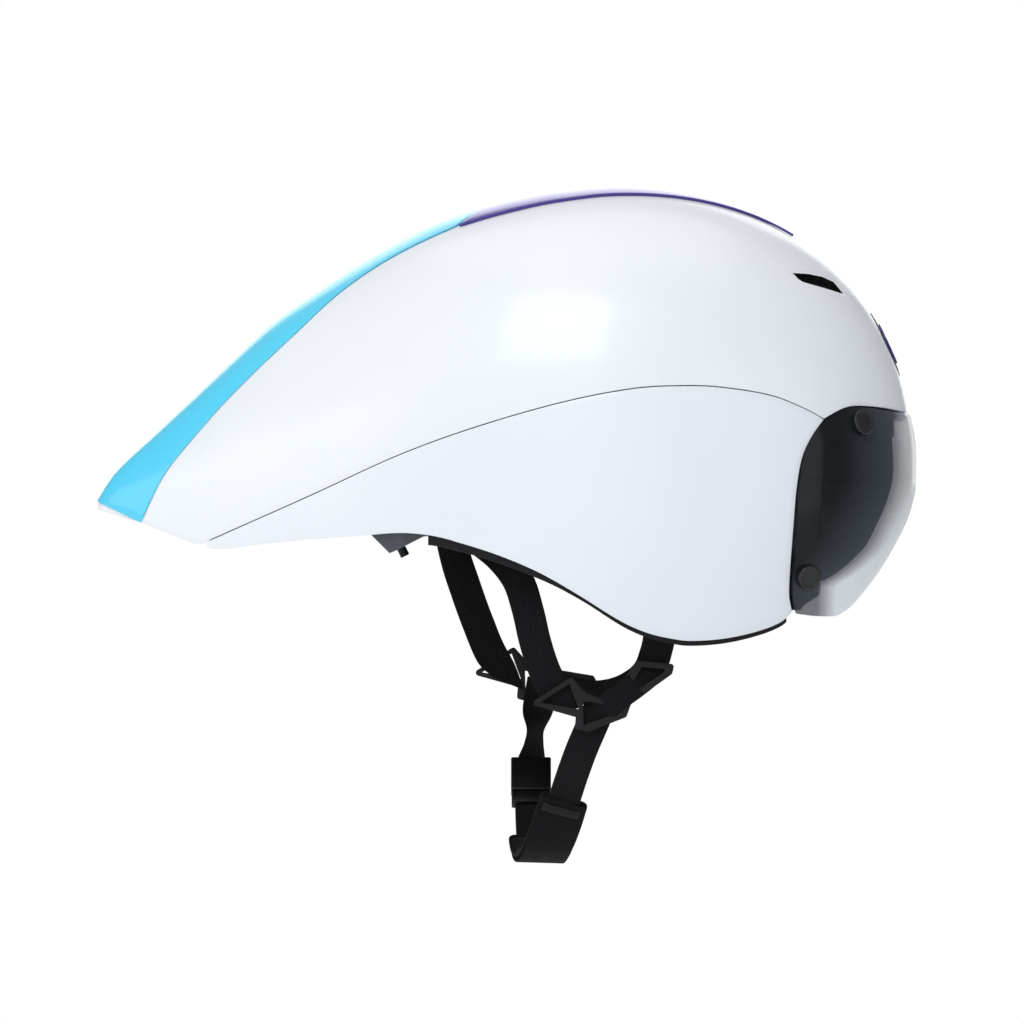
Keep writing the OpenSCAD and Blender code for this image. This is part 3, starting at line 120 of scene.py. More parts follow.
@dataclass(frozen=True)
class Ovoid:
    """Front half of a rounded form.

    Attributes:
        crown_x: Place of its widest section.
        reach: Length ahead of that section.
        waist_z: Height of its widest level.
        top_z: Height of its crown.
        drop: Depth below the waist at which it would close.
        half_w: Half of its width.
        power: Power of its round sections.
    """

    crown_x: float
    reach: float
    waist_z: float
    top_z: float
    drop: float
    half_w: float
    power: float = 2.08

    def level(self, z: float) -> float:
        """Returns how far z is from the waist, from 0 to 1.

        Args:
            z: The height.

        Returns:
            The share.
        """
        if z > self.waist_z:
            return (z - self.waist_z) / (self.top_z - self.waist_z)
        return (self.waist_z - z) / self.drop

    def ahead(self, x: float) -> float:
        """Returns how far x is along the reach, raised to the form's power."""
        return (max(0.0, x - self.crown_x) / self.reach) ** self.power

    def side(self, x: float, z: float) -> float:
        """Returns the half width at x and z."""
        return self.half_w * round_side((self.ahead(x) + self.level(z) ** self.power) ** (1 / self.power))

    def nose(self, y: float, z: float) -> float:
        """Returns the forward place at y and z."""
        rest = round_side(abs(y) / self.half_w) ** self.power - self.level(z) ** self.power
        return self.crown_x + self.reach * max(0.0, rest) ** (1 / self.power)

    def crest(self, x: float, y: float) -> float:
        """Returns the upper height at x and y."""
        rest = round_side(abs(y) / self.half_w) ** self.power - self.ahead(x)
        return self.waist_z + (self.top_z - self.waist_z) * max(0.0, rest) ** (1 / self.power)

    def top(self, x: float) -> float:
        """Returns the height of the middle line at x."""
        return self.waist_z + (self.top_z - self.waist_z) * (1 - self.ahead(x)) ** (1 / self.power)


@dataclass(frozen=True)
class HelmetForm:
    """Outer form, inner room and edges of the helmet."""

    length: float = 411
    tail_reach: float = 282
    half_w: float = 102
    crown_h: float = 120.5
    drop: float = 105.5
    shell_t: float = 1.6
    seam_gap: float = 0.6
    corner_share: float = 0.886
    cover_end_share: float = 0.847
    tip_share: float = 0.003
    tail_corner_share: float = 0.135
    shell: Ovoid = Ovoid(-22, 147, -10.0, 120.5, 179.35, 102)
    lens: Ovoid = Ovoid(-22, 151, -13.1875, 81.94, 179.35, 102)
    room: Ovoid = Ovoid(-4.9, 102.9, -9.79, 89, 422, 79)
    tail_waist_z: float = -40.09
    room_reach: float = 212
    ear: Table = ((4.9, -44.5), (31.36, 6))
    top_share: Table = ((0, -.315), (.024, -.187), (.073, -.025), (.122, .133), (.17, .29), (.219, .443),
                        (.268, .56), (.316, .667), (.365, .765), (.414, .848), (.462, .905), (.511, .948),
                        (.56, .979), (.633, 1), (.706, .979))
    width_share: Table = ((0, .03), (.03, .1), (.078, .2), (.15, .335), (.25, .52), (.35, .7), (.45, .855),
                          (.54, .955), (.633, 1), (.726, .955))
    tail_end_share: Table = ((0, -.33), (.055, -.384), (.123, -.478))
    seam_share: Table = ((.123, -.478), (.26, -.27), (.369, -.1), (.467, .021), (.575, .1245), (.658, .177),
                         (.719, .187), (.76, .181), (.822, .146), (.863, .091), (.886, .048))
    low_share: Table = ((.123, -.546), (.15, -.564), (.19, -.545), (.25, -.521), (.32, -.502), (.37, -.488),
                        (.41, -.502), (.443, -.5355), (.4915, -.597), (.54, -.678), (.589, -.787),
                        (.6375, -.905), (.67, -.962), (.7, -.99), (.72, -1), (.76, -.99), (.8, -.957),
                        (.832, -.91), (.847, -.8626))
    brow_share: Table = ((.886, .048), (.904, .083), (.9185, .0996), (.942, .0996), (.966, .089),
                         (.989, .072), (1.01, .065))
    port_share: Table = ((-.1, .9), (0, .886), (.0654, .8735), (.164, .8607), (.3036, .854), (.488, .8504),
                         (.6855, .8473), (.802, .8467), (.865, .8504), (.92, .853))
    room_top_share: Table = ((0, -.6), (.057, -.225), (.155, .056), (.3, .36), (.444, .63), (.59, .83),
                             (.734, .944), (.88, .994), (1, 1), (1.12, .994))
    room_width_share: Table = ((0, .1), (.106, .25), (.25, .43), (.4, .61), (.555, .835), (.734, .962),
                               (1, 1), (1.2, .962))

    def at_len(self, share: float) -> float:
        """Returns the place at a share of the length."""
        return share * self.length - self.tail_reach

    def len_share(self, x: float) -> float:
        """Returns the share of the length at a place."""
        return (x + self.tail_reach) / self.length

    def top(self, x: float) -> float:
        """Returns the height of the shell's middle line.

        Args:
            x: The place along the helmet.

        Returns:
            The height.
        """
        if x > self.shell.crown_x:
            return self.shell.top(x)
        return self.crown_h * curve(self.top_share, self.len_share(x))

    def waist(self, x: float) -> float:
        """Returns the height of the shell's widest level."""
        back = (self.shell.crown_x - x) / (self.shell.crown_x + self.tail_reach)
        return lerp(self.shell.waist_z, self.tail_waist_z, smooth(back))

    def side(self, x: float, z: float) -> float:
        """Returns the shell's half width at x and z.

        Args:
            x: The place along the helmet.
            z: The height.

        Returns:
            The half width.
        """
        if x > self.shell.crown_x:
            return self.shell.side(x, z)
        waist = self.waist(x)
        level = (z - waist) / (self.top(x) - waist) if z > waist else (waist - z) / self.shell.drop
        return self.half_w * curve(self.width_share, self.len_share(x)) * round_side(level)

    def crest(self, x: float, y: float) -> float:
        """Returns the shell's upper height at x and y.

        Args:
            x: The place along the helmet.
            y: The place across it.

        Returns:
            The height.
        """
        if x > self.shell.crown_x:
            return self.shell.crest(x, y)
        waist = self.waist(x)
        wide = self.half_w * curve(self.width_share, self.len_share(x))
        return waist + (self.top(x) - waist) * round_side(abs(y) / wide)

    def room_place(self, x: float) -> float:
        """Returns the share of the room's rear half at x."""
        return (x + self.room_reach) / (self.room_reach + self.room.crown_x)

    def room_levels(self, x: float) -> tuple[float, float]:
        """Returns the heights of the widest level and the top of the room's rear half at x."""
        waist = lerp(self.room.waist_z, self.tail_waist_z, smooth((self.room.crown_x - x) / self.room_reach))
        return waist, self.room.top_z * curve(self.room_top_share, self.room_place(x))

    def room_half(self, x: float) -> float:
        """Returns the half width of the room's rear half at its widest level."""
        return self.room.half_w * curve(self.room_width_share, self.room_place(x))

    def room_side(self, x: float, z: float) -> float:
        """Returns the room's half width at x and z, with its ear pockets.

        Args:
            x: The place along the helmet.
            z: The height.

        Returns:
            The half width.
        """
        (ear_x, ear_z), (ear_r, ear_deep) = self.ear
        bump = ear_deep * math.exp(-(((x - ear_x) / ear_r) ** 2) - ((z - ear_z) / ear_r) ** 2)
        if x > self.room.crown_x:
            return self.room.side(x, max(z, self.room.waist_z)) + bump
        waist, top = self.room_levels(x)
        level = (z - waist) / (top - waist) if z > waist else 0
        return self.room_half(x) * round_side(level) + bump

    def room_crest(self, x: float, y: float) -> float:
        """Returns the room's upper height at x and y.

        Args:
            x: The place along the helmet.
            y: The place across it.

        Returns:
            The height.
        """
        if x > self.room.crown_x:
            return self.room.crest(x, y)
        waist, top = self.room_levels(x)
        return waist + (top - waist) * round_side(abs(y) / self.room_half(x))

    def seam_z(self, x: float) -> float:
        """Returns the height of the seam between the shells."""
        return self.crown_h * curve(self.seam_share, self.len_share(x))

    def low_z(self, x: float) -> float:
        """Returns the height of the shell's lower edge."""
        return self.drop * curve(self.low_share, self.len_share(x))

    def upper_edge_z(self, x: float) -> float:
        """Returns the height of the upper shell's lower edge.

        Args:
            x: The place along the helmet.

        Returns:
            The height.
        """
        share = self.len_share(x)
        if share >= self.tail_end_share[2][0]:
            return self.seam_z(x)
        return self.crown_h * float(np.interp(share, *zip(*self.tail_end_share)))

    def port_x(self, z: float) -> float:
        """Returns the place of the port's rear edge at a height."""
        return self.at_len(curve(self.port_share, (self.corner_z - z) / (self.corner_z + self.drop)))

    @property
    def corner_x(self) -> float:
        """Place of the port's upper rear corner."""
        return self.at_len(self.corner_share)

    @property
    def corner_z(self) -> float:
        """Height of the port's upper rear corner."""
        return self.crown_h * 0.048

    @property
    def tip_z(self) -> float:
        """Height of the brow's edge on the middle line."""
        return self.crown_h * 0.072

    @property
    def tip_x(self) -> float:
        """Place of the brow's edge on the middle line."""
        return self.shell.nose(0, self.tip_z)

    def brow_bend(self, s: float) -> float:
        """Returns how much the brow's edge rises over a straight line."""
        edge = self.crown_h * curve(self.brow_share, self.len_share(lerp(self.corner_x, self.tip_x, s)))
        return edge - lerp(self.corner_z, self.tip_z, s)

    def rib_top(self, c: float, from_x: float, mid_x: float, to_x: float) -> float:
        """Returns the place on the middle line of a rib, closer together towards the front.

        Args:
            c: Share of the ribs from the first to the last.
            from_x: Place of the first rib.
            mid_x: Place at which they begin to close up.
            to_x: Place of the last rib.

        Returns:
            The place.
        """
        if c < 0.55:
            return lerp(from_x, mid_x, c / 0.55)
        turn = math.radians(82)
        return lerp(mid_x, to_x, math.sin(turn * (c - 0.55) / 0.45) / math.sin(turn))

    def arch(self, s: float, low_x: float, low_z: float, top_x: float, bend: float) -> Point:
        """Returns a point of a rib between a lower edge and the middle line.

        Args:
            s: Share of the way up, 1 on the middle line.
            low_x: Place of the rib's lower end.
            low_z: Height of the rib's lower end.
            top_x: Place of the rib on the middle line.
            bend: Height added to follow the brow's edge.

        Returns:
            The point on the right side.
        """
        x = lerp(low_x, top_x, s)
        z = lerp(low_z, self.top(top_x), s) + bend
        return (x, 0.0 if s >= 1 else -self.side(x, z), z)

    def lens_side(self, z: float) -> float:
        """Returns the half width of the lens at a height."""
        return self.lens.side(self.port_x(z) + 0.8, z)


FORM = HelmetForm()


def both_sides(row: list[Point]) -> list[Point]:
    """Returns a row of the right side that ends on the middle plane, with its mirror image after it."""
    return row + [(x, -y, z) for x, y, z in row[-2::-1]]


def flipped(grid: Grid) -> Grid:
    """Returns the left-hand twin of a grid, wound so that its faces still point outwards."""
    return [[(x, -y, z) for x, y, z in col] for col in reversed(grid)]


def raised(grid: Grid, height: float | list[list[float]]) -> Grid:
    """Moves a grid along its own normals.

    Args:
        grid: Columns of points in millimetres.
        height: One distance, or a distance for each point.

    Returns:
        The moved grid.
    """
    g = np.array(grid, float)
    along = np.gradient(g, axis=0)
    across = np.gradient(g, axis=1)
    n = np.cross(along, across)
    n /= np.maximum(np.linalg.norm(n, axis=2, keepdims=True), 1e-9)
    d = np.broadcast_to(np.asarray(height, float), g.shape[:2])
    return [[tuple(p) for p in col] for col in (g + n * d[..., None])]


def route(rows: Sequence[Sequence[float]], step: float) -> np.ndarray:
    """Draws a smooth line through rows of numbers, the first three of which are a place.

    Args:
        rows: The rows that the line passes.
        step: Distance between its points.

    Returns:
        One row for each point of the line.
    """
    p = np.array(rows, float)
    gaps = np.linalg.norm(np.diff(p[:, :3], axis=0), axis=1)
    at = np.concatenate([[0], np.cumsum(gaps)])
    slope = np.gradient(p, at, axis=0)
    out = []
    for i, gap in enumerate(gaps):
        n = max(2, round(gap / step))
        for t in np.linspace(0, 1, n, endpoint=False):
            out.append((2 * t**3 - 3 * t**2 + 1) * p[i] + (t**3 - 2 * t**2 + t) * gap * slope[i]
                       + (3 * t**2 - 2 * t**3) * p[i + 1] + (t**3 - t**2) * gap * slope[i + 1])
    return np.array(out + [p[-1]])


# Modelling


def pick(obj: bpy.types.Object) -> bpy.types.Object:
    """Makes one object the only selected and the active one, and returns it.

    Args:
        obj: The object.

    Returns:
        The object.
    """
    if bpy.context.mode != "OBJECT":
        bpy.ops.object.mode_set(mode="OBJECT")
    bpy.ops.object.select_all(action="DESELECT")
    obj.select_set(True)
    bpy.context.view_layer.objects.active = obj
    return obj


def edit_all(obj: bpy.types.Object, work: Callable[[], object]) -> None:
    """Runs an operator in edit mode on the whole mesh of an object.

    Args:
        obj: The object.
        work: Calls the operators.
    """
    pick(obj)
    bpy.ops.object.mode_set(mode="EDIT")
    bpy.ops.mesh.select_all(action="SELECT")
    work()
    bpy.ops.object.mode_set(mode="OBJECT")


def apply(obj: bpy.types.Object, kind: str, **values: object) -> bpy.types.Object:
    """Adds a modifier to an object and applies it.

    Args:
        obj: The object.
        kind: The modifier's type.
        **values: The modifier's settings.

    Returns:
        The object.
    """
    pick(obj)
    mod = obj.modifiers.new(kind.title(), kind)
    for key, value in values.items():
        setattr(mod, key, value)
    bpy.ops.object.modifier_apply(modifier=mod.name)
    return obj


def soft_edges(obj: bpy.types.Object, width: float, segments: int = 2, angle: float = 40) -> bpy.types.Object:
    """Rounds the sharp edges of an object and shades the rest smooth.

    Args:
        obj: The object.
        width: Width of the rounding in millimetres.
        segments: Number of its steps.
        angle: The least angle of an edge that is rounded, in degrees.

    Returns:
        The object.
    """
    apply(obj, "BEVEL", width=width * MM, segments=segments, limit_method="ANGLE",
          angle_limit=math.radians(angle), use_clamp_overlap=True, miter_outer="MITER_ARC")
    return shade(obj, angle)


def shade(obj: bpy.types.Object, angle: float = 40) -> bpy.types.Object:
    """Shades an object smooth but for its sharper edges, and returns it.

    Args:
        obj: The object.
        angle: The least angle of an edge that stays sharp, in degrees.

    Returns:
        The object.
    """
    pick(obj)
    bpy.ops.object.shade_smooth_by_angle(angle=math.radians(angle))
    return obj


def skin(name: str, grid: Grid, merge: bool = False) -> bpy.types.Object:
    """Adds a flat grid and sets its points on a surface.

    Args:
        name: Name of the new object.
        grid: Columns of points in millimetres, with the faces' outside along columns times rows.
        merge: Whether the points that meet are joined.

    Returns:
        The new object.
    """
    co = np.array(grid, np.float32)
    nc, nr = co.shape[:2]
    if bpy.context.mode != "OBJECT":
        bpy.ops.object.mode_set(mode="OBJECT")
    bpy.ops.object.select_all(action="DESELECT")
    bpy.ops.mesh.primitive_grid_add(x_subdivisions=nc - 1, y_subdivisions=nr - 1, size=1)
    obj = bpy.context.active_object
    obj.name = obj.data.name = name
    obj.data.vertices.foreach_set("co", (co.transpose(1, 0, 2) * MM).ravel())
    obj.data.update()
    if merge:
        edit_all(obj, lambda: bpy.ops.mesh.remove_doubles(threshold=1e-6))
    return obj


def wall(name: str, grid: Grid, thickness: float, edge: float = 0.3, segments: int = 2) -> bpy.types.Object:
    """Makes a wall of even thickness inside a surface, with rounded edges.

    Args:
        name: Name of the new object.
        grid: Columns of points of its outside, in millimetres.
        thickness: Thickness of the wall in millimetres.
        edge: Rounding of its edges in millimetres.
        segments: Number of steps of the rounding.

    Returns:
        The new object.
    """
    obj = skin(name, grid)
    apply(obj, "SOLIDIFY", thickness=thickness * MM, offset=-1, use_even_offset=True, use_quality_normals=True)
    return soft_edges(obj, edge, segments, 50) if edge else shade(obj, 50)


def block_between(name: str, outer: Grid, inner: Grid) -> bpy.types.Object:
    """Makes a closed solid between two grids of the same size.

    Args:
        name: Name of the new object.
        outer: The grid on the side that the faces point to.
        inner: The grid behind it.

    Returns:
        The new object.
    """
    top = [[inner[i][0]] + list(outer[i]) + list(reversed(inner[i])) for i in range(len(outer))]
    obj = skin(name, top, merge=True)
    edit_all(obj, close_holes)
    return obj


def close_holes() -> None:
    """Closes the open ends of the mesh in edit mode and turns its faces outwards."""
    bpy.ops.mesh.select_all(action="DESELECT")
    bpy.ops.mesh.select_non_manifold()
    bpy.ops.mesh.fill_holes(sides=0)
    bpy.ops.mesh.select_all(action="SELECT")
    bpy.ops.mesh.quads_convert_to_tris(quad_method="BEAUTY", ngon_method="BEAUTY")
    bpy.ops.mesh.tris_convert_to_quads()
    bpy.ops.mesh.normals_make_consistent(inside=False)


def softened(node: str, name: str, width: float, segments: int = 3, angle: float = 35,
             plain: bool = True) -> bpy.types.Object:
    """Makes a rounded copy of a node of the frame.

    Args:
        node: The node's name.
        name: Name of the copy.
        width: Rounding of its edges in millimetres.
        segments: Number of steps of the rounding.
        angle: The least angle of an edge that is rounded, in degrees.
        plain: Whether its flat sides become single faces, which a side with holes can't.

    Returns:
        The copy.
    """
    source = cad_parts[node]
    obj = bpy.data.objects.new(name, source.data.copy())
    bpy.context.scene.collection.objects.link(obj)
    for key in [k for k in obj.keys() if k.startswith("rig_")]:
        del obj[key]
    obj.data.materials.clear()

    def tidy() -> None:
        """Joins the loose triangles into plain faces."""
        bpy.ops.mesh.remove_doubles(threshold=2e-6)
        bpy.ops.mesh.customdata_custom_splitnormals_clear()
        if plain:
            bpy.ops.mesh.dissolve_limited(angle_limit=math.radians(0.6))

    edit_all(obj, tidy)
    return soft_edges(obj, width, segments, angle)


def cut_out(obj: bpy.types.Object, cutters: Iterable[bpy.types.Object]) -> bpy.types.Object:
    """Cuts closed solids out of an object and removes them, and returns the object.

    Args:
        obj: The object.
        cutters: The solids, which are used up.

    Returns:
        The object.
    """
    for cutter in cutters:
        apply(obj, "BOOLEAN", object=cutter, operation="DIFFERENCE", solver="EXACT")
        bpy.data.objects.remove(cutter, do_unlink=True)
    return obj


def prism(name: str, outline: Sequence[tuple[float, float]], start: Callable[[float, float], Point],
          along: Point) -> bpy.types.Object:
    """Makes a straight prism from an outline, to cut with.

    Args:
        name: Name of the new object.
        outline: Its corners in order.
        start: Gives the place of a corner.
        along: How far and where the outline is drawn out, in millimetres.

    Returns:
        The new object.
    """
    near = [start(*p) for p in outline]
    far = [tuple(a + b for a, b in zip(p, along)) for p in near]
    obj = skin(name, [near + near[:1], far + far[:1]], merge=True)
    edit_all(obj, close_holes)
    return obj


def set_uv(obj: bpy.types.Object, nc: int, nr: int, across: np.ndarray, along: np.ndarray) -> None:
    """Gives a fresh grid a map in millimetres.

    Args:
        obj: The object, before its wall is made.
        nc: Number of columns.
        nr: Number of rows; not used.
        across: Distance of each row from the first.
        along: Distance of each column from the first.
    """
    layer = obj.data.uv_layers.active.data
    loops = np.zeros(len(obj.data.loops), int)
    obj.data.loops.foreach_get("vertex_index", loops)
    uv = np.stack([across[loops // nc], along[loops % nc]], axis=1)
    layer.foreach_set("uv", uv.astype(np.float32).ravel())


# Finishes


class Space(Enum):
    """What a pattern follows."""

    OBJECT = "Object"
    MAP = "UV"


class Deck:
    """Node tree of one material, with short ways to add and join its nodes."""

    def __init__(self, name: str) -> None:
        """Starts a material with one shader.

        Args:
            name: Name of the material.
        """
        self.material = bpy.data.materials.new(name)
        self.material.use_nodes = True
        self.tree = self.material.node_tree
        self.shader = self.tree.nodes["Principled BSDF"]

    def add(self, kind: str, **inputs: object) -> bpy.types.Node:
        """Adds a node.

        Args:
            kind: The node's type without its prefix.
            **inputs: Values or outputs for its inputs, by name with _ for a space.

        Returns:
            The node.
        """
        node = self.tree.nodes.new("ShaderNode" + kind)
        for key, value in inputs.items():
            self.put(node, key.replace("_", " "), value)
        return node

    def put(self, node: bpy.types.Node, key: str | int, value: object) -> None:
        """Sets an input of a node to a value or joins an output to it.

        Args:
            node: The node.
            key: Name or number of the input.
            value: The value or the output.
        """
        if isinstance(value, bpy.types.NodeSocket):
            self.tree.links.new(value, node.inputs[key])
        else:
            node.inputs[key].default_value = value

    def set(self, **inputs: object) -> None:
        """Sets inputs of the shader by name, with _ for a space."""
        for key, value in inputs.items():
            self.put(self.shader, key.replace("_", " "), value)

    def place(self, space: Space = Space.OBJECT, scale: Point = (1, 1, 1), turn: Point = (0, 0, 0)) -> object:
        """Returns the coordinates of a pattern.

        Args:
            space: What the pattern follows.
            scale: Its scale along each axis.
            turn: Its turn about each axis, in radians.

        Returns:
            The output with the coordinates.
        """
        source = self.add("TexCoord").outputs[space.value]
        node = self.add("Mapping", Vector=source, Scale=scale, Rotation=turn)
        return node.outputs["Vector"]

    def noise(self, vector: object, scale: float, detail: float = 3, rough: float = 0.55) -> object:
        """Returns a soft noise."""
        return self.add("TexNoise", Vector=vector, Scale=scale, Detail=detail, Roughness=rough).outputs[0]

    def math(self, kind: str, a: object, b: object = 0.0) -> object:
        """Returns the result of a sum or a function of one or two values.

        Args:
            kind: The operation.
            a: The first value or output.
            b: The second value or output.

        Returns:
            The output with the result.
        """
        node = self.add("Math")
        node.operation = kind
        self.put(node, 0, a)
        self.put(node, 1, b)
        return node.outputs[0]

    def spread(self, value: object, low: float, high: float, start: float = 0.0, end: float = 1.0) -> object:
        """Returns a value moved from the range start to end into the range low to high.

        Args:
            value: The value or output.
            low: The result at the start.
            high: The result at the end.
            start: Start of the range of the value.
            end: End of that range.

        Returns:
            The output with the result.
        """
        node = self.add("MapRange")
        for key, number in (("Value", value), ("From Min", start), ("From Max", end), ("To Min", low),
                            ("To Max", high)):
            self.put(node, key, number)
        return node.outputs[0]

    def blend(self, share: object, a: Sequence[float], b: Sequence[float] | object) -> object:
        """Returns a colour between two colours.

        Args:
            share: The share of the second colour.
            a: The first colour.
            b: The second colour, or an output with it.

        Returns:
            The output with the colour.
        """
        node = self.add("Mix")
        node.data_type = "RGBA"
        self.put(node, 0, share)
        self.put(node, 6, a)
        self.put(node, 7, b)
        return node.outputs[2]

    def bump(self, height: object, strength: float, distance: float) -> None:
        """Adds relief to the shader.

        Args:
            height: The output with the height, from 0 to 1.
            strength: Its strength.
            distance: Its height in metres.
        """
        node = self.add("Bump", Height=height, Strength=strength, Distance=distance)
        if self.shader.inputs["Normal"].is_linked:
            self.put(node, "Normal", self.shader.inputs["Normal"].links[0].from_socket)
        self.put(self.shader, "Normal", node.outputs[0])


def rgba(r: float, g: float, b: float) -> tuple[float, float, float, float]:
    """Returns a linear colour from one as a screen shows it, from 0 to 255."""
    lin = [(c / 255 / 12.92) if c <= 10 else ((c / 255 + 0.055) / 1.055) ** 2.4 for c in (r, g, b)]
    return (*lin, 1.0)


@dataclass(frozen=True)
class Paint:
    """Satin lacquer over a moulded skin.

    Attributes:
        name: Name of the finish.
        light: Its colour as a screen shows it.
        deep: The colour that it drifts to.
        rough: Its roughness.
        coat: Strength of the clear coat.
        level: Strength of its reflections.
        drift: How fast the colour changes along X, Y and Z.
    """

    name: str
    light: Point
    deep: Point
    rough: float = 0.34
    coat: float = 0.25
    level: float = 0.4
    drift: Point = (3.0, 3.0, 3.0)

    def material(self) -> bpy.types.Material:
        """Returns the finish as a material.

        Returns:
            The material.
        """
        deck = Deck(self.name)
        broad = deck.noise(deck.place(scale=self.drift), 1.6, 2)
        fine = deck.noise(deck.place(), 850, 2)
        deck.set(Base_Color=deck.blend(deck.spread(broad, 0, 1, 0.3, 0.7), rgba(*self.light), rgba(*self.deep)))
        deck.set(Roughness=deck.spread(fine, self.rough - 0.03, self.rough + 0.03, 0.3, 0.7))
        deck.set(Coat_Weight=self.coat, Coat_Roughness=0.12, Specular_IOR_Level=self.level)
        deck.bump(fine, 0.05, 0.0001)
        deck.bump(deck.noise(deck.place(), 60, 1), 0.04, 0.0004)
        return deck.material


@dataclass(frozen=True)
class EdgeShadedPaint:
    """Glossy lacquer on a thin cover, darkened towards its long edges by painted shade."""

    name: str
    middle: Point
    # edge: colour of the painted shade along the cover's long edges
    edge: Point
    rough: float = 0.24

    def material(self) -> bpy.types.Material:
        """Returns the finish as a material.

        Returns:
            The material.
        """
        deck = Deck(self.name)
        parts = deck.add("SeparateXYZ", Vector=deck.place(Space.MAP))
        off = deck.math("ABSOLUTE", deck.math("SUBTRACT", parts.outputs["Y"], 0.5))
        # painted shade: the colour darkens towards the long edges of the map
        side = deck.spread(off, 0, 1, 0.28, 0.5)
        flake = deck.noise(deck.place(), 1400, 2)
        side = deck.math("ADD", side, deck.spread(flake, -0.08, 0.08))
        deck.set(Base_Color=deck.blend(side, rgba(*self.middle), rgba(*self.edge)), Specular_IOR_Level=0.4)
        deck.set(Roughness=deck.spread(flake, self.rough - 0.04, self.rough + 0.04), Coat_Weight=0.3,
                 Coat_Roughness=0.1)
        deck.bump(flake, 0.04, 0.0001)
        return deck.material


@dataclass(frozen=True)
class Moulded:
    """Moulded plastic with a fine grain and slightly uneven gloss."""

    name: str
    colour: Point
    rough: float = 0.45
    grain: float = 0.12
    grain_scale: float = 1500
    level: float = 0.4

    def material(self) -> bpy.types.Material:
        """Returns the finish as a material.

        Returns:
            The material.
        """
        deck = Deck(self.name)
        grain = deck.noise(deck.place(), self.grain_scale, 2)
        broad = deck.noise(deck.place(), 45, 3)
        dark = tuple(c * 0.8 for c in self.colour)
        deck.set(Base_Color=deck.blend(deck.spread(broad, 0, 1, 0.35, 0.65), rgba(*self.colour), rgba(*dark)))
        deck.set(Roughness=deck.spread(broad, self.rough - 0.07, self.rough + 0.07, 0.3, 0.7))
        deck.set(Specular_IOR_Level=self.level)
        deck.bump(grain, self.grain, 0.00025)
        return deck.material


@dataclass(frozen=True)
class BeadFoam:
    """Expanded bead foam: pressed beads a few millimetres wide with dark joints."""

    name: str = "bead_foam"
    colour: Point = (46, 46, 49)

    def material(self) -> bpy.types.Material:
        """Returns the finish as a material.

        Returns:
            The material.
        """
        deck = Deck(self.name)
        bead = deck.add("TexVoronoi", Vector=deck.place(), Scale=330.0)
        joint = deck.add("TexVoronoi", Vector=deck.place(), Scale=330.0)
        joint.feature = "DISTANCE_TO_EDGE"
        near = deck.spread(joint.outputs["Distance"], 0, 1, 0.0, 0.12)
        tint = deck.add("SeparateXYZ", Vector=bead.outputs["Color"]).outputs["X"]
        face = deck.blend(tint, rgba(*self.colour), rgba(*(c * 1.25 for c in self.colour)))
        deck.set(Base_Color=deck.blend(near, rgba(16, 16, 18), face), Specular_IOR_Level=0.25)
        deck.set(Roughness=deck.spread(tint, 0.62, 0.8))
        deck.bump(near, 0.5, 0.0003)
        return deck.material


@dataclass(frozen=True)
class Webbing:
    """Woven black tape: short ribs in staggered columns with a tight selvedge, with painted shade in the hollows
    between them.

    Attributes:
        name: Name of the finish.
        width: Width of the tape in millimetres, which the map is in; not used.
        pitch: Height of one rib in millimetres.
        column: Width of one column of ribs in millimetres.
    """

    name: str = "woven_tape"
    width: float = 16
    pitch: float = 0.95
    column: float = 1.9

    def material(self) -> bpy.types.Material:
        """Returns the finish as a material.

        Returns:
            The material.
        """
        deck = Deck(self.name)
        parts = deck.add("SeparateXYZ", Vector=deck.place(Space.MAP))
        across, along = parts.outputs["X"], parts.outputs["Y"]
        column = deck.math("DIVIDE", across, self.column)
        zig = deck.math("PINGPONG", column, 1.0)
        turn = deck.math("ADD", deck.math("DIVIDE", along, self.pitch), deck.math("MULTIPLY", zig, 0.9))
        rib = deck.math("PINGPONG", turn, 0.5)
        rib = deck.math("POWER", deck.math("MULTIPLY", rib, 2.0), 0.7)
        gap = deck.spread(deck.math("PINGPONG", column, 0.5), 0.35, 1, 0.0, 0.16)
        height = deck.math("MULTIPLY", rib, gap)
        fluff = deck.noise(deck.place(), 2600, 2)
        # painted shade and highlight: the colour is darker in the hollows and gaps of the weave and lighter on the rib
        # tops
        tone = deck.math("MULTIPLY", height, deck.spread(fluff, 0.6, 1.2))
        deck.set(Base_Color=deck.blend(tone, rgba(5, 5, 6), rgba(27, 27, 30)), Specular_IOR_Level=0.12)
        deck.set(Roughness=deck.spread(fluff, 0.6, 0.78), Sheen_Weight=0.03, Sheen_Roughness=0.4)
        deck.bump(height, 0.7, 0.00035)
        return deck.material


